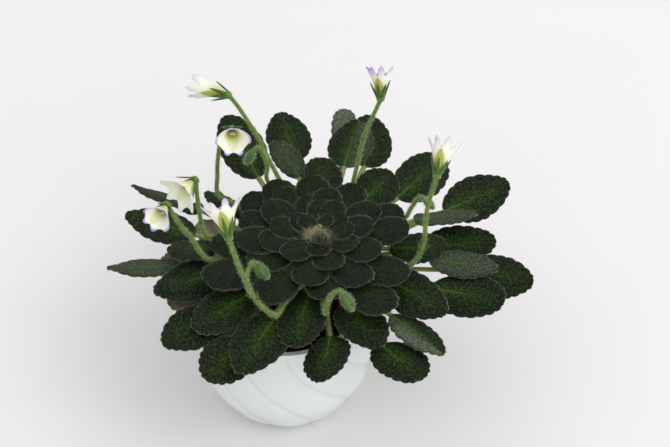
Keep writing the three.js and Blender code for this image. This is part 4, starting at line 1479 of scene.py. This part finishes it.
outer_list = list(outer_leaves.values())
SOWINGS = (
    ("outer_leaf_hairs_1", sow_surface, outer_grid, outer_list[:16], (0.0004, 0.0008)),
    ("outer_leaf_hairs_2", sow_surface, outer_grid, outer_list[16:], (0.0004, 0.0008)),
    ("inner_leaf_hairs", sow_surface, inner_grid, inner_leaves, (0.00035, 0.0007)),
    ("outer_leaf_fringe", sow_edge, outer_grid, outer_list, (0.0003, 0.0008)),
    ("inner_leaf_fringe", sow_edge, inner_grid, inner_leaves, (0.0003, 0.0007)),
)
for name, sow, grid, leaves, length_range in SOWINGS:
    roots, ways = gather([sow(leaf, grid) for leaf in leaves])
    skin, width = (leaf_hair, LEAF_HAIR_WIDTH) if sow is sow_surface else (fringe_hair, FRINGE_WIDTH)
    make_hairs(name, skin, "leaf", roots, ways, length_range, width)

# %% [markdown]
# The stalks and buds wear a looser halo of longer hairs that stand straight out, and the very heart of the
# rosette is filled with cream-coloured wool.

# %% Hairs of the stalks and the heart
STALK_HAIRS = 1250
STALK_HAIR_WIDTH = 0.00004
STALK_HAIR_LENGTHS = (0.0005, 0.0013)
BUD_HAIRS = 450
WOOL_HAIRS = 1200
WOOL_PLACE = (0.0120, 0.0105)
WOOL_SPREAD = 0.0044
WOOL_LENGTHS = (0.0012, 0.0030)
WOOL_WIDTH = 0.00006

halo_hair = hair_material("stalk_hair", paint(150, 168, 110), paint(224, 228, 202))
wool = hair_material("crown_wool", paint(150, 136, 96), paint(214, 202, 164))
sown = []
for name, (line, ways) in stalk_lines.items():
    ring = random.uniform(STALK_RINGS * 0.3, STALK_RINGS - 1.01, STALK_HAIRS)
    low, part = ring.astype(int), (ring % 1)[:, None]
    spot = line[low] * (1 - part) + line[low + 1] * part
    way = ways[low]
    out = unit(np.cross(way, random.normal(size=(STALK_HAIRS, 3))))
    roots = spot + out * stalk_girth(ring / (STALK_RINGS - 1))[:, None] * 0.95
    sown.append((roots, out + way * random.normal(scale=0.3, size=(STALK_HAIRS, 1))))
    if name in BUDS:
        share = random.uniform(0.02, 0.95, BUD_HAIRS)
        around = random.uniform(0, 2 * math.pi, BUD_HAIRS)
        radius, height = bud_profile(share)
        local = round_points(radius, around, height) * BUDS[name].size * 0.97
        out = round_points(1, around, 1.2 * (share - 0.5))
        sown.append((aim(local, line[-1], ways[-1]), aim(out, (0, 0, 0), ways[-1])))
roots, ways = gather(sown)
make_hairs("stalk_hairs", halo_hair, "stalk", roots, ways, STALK_HAIR_LENGTHS, STALK_HAIR_WIDTH)

flat = random.normal(scale=WOOL_SPREAD / 2, size=(WOOL_HAIRS, 2))
roots = np.column_stack([np.array(WOOL_PLACE) + flat, np.full(WOOL_HAIRS, CROWN[2] - 0.0003)])
ways = np.column_stack([flat / WOOL_SPREAD * 0.7 + random.normal(scale=0.35, size=(WOOL_HAIRS, 2)),
                        np.full(WOOL_HAIRS, 0.9)])
make_hairs("crown_wool", wool, "leaf", roots, ways, WOOL_LENGTHS, WOOL_WIDTH)

# %% [markdown]
# Last, the box of the finished model is set against the box of its construction model, and the spans of
# both are printed.

# %% Sizes
visual_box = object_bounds()
for axis in range(3):
    spans = [round(1000 * (box[1][axis] - box[0][axis]), 1) for box in (cad_box, visual_box)]
    print("XYZ"[axis], "construction and finished span in mm:", spans)
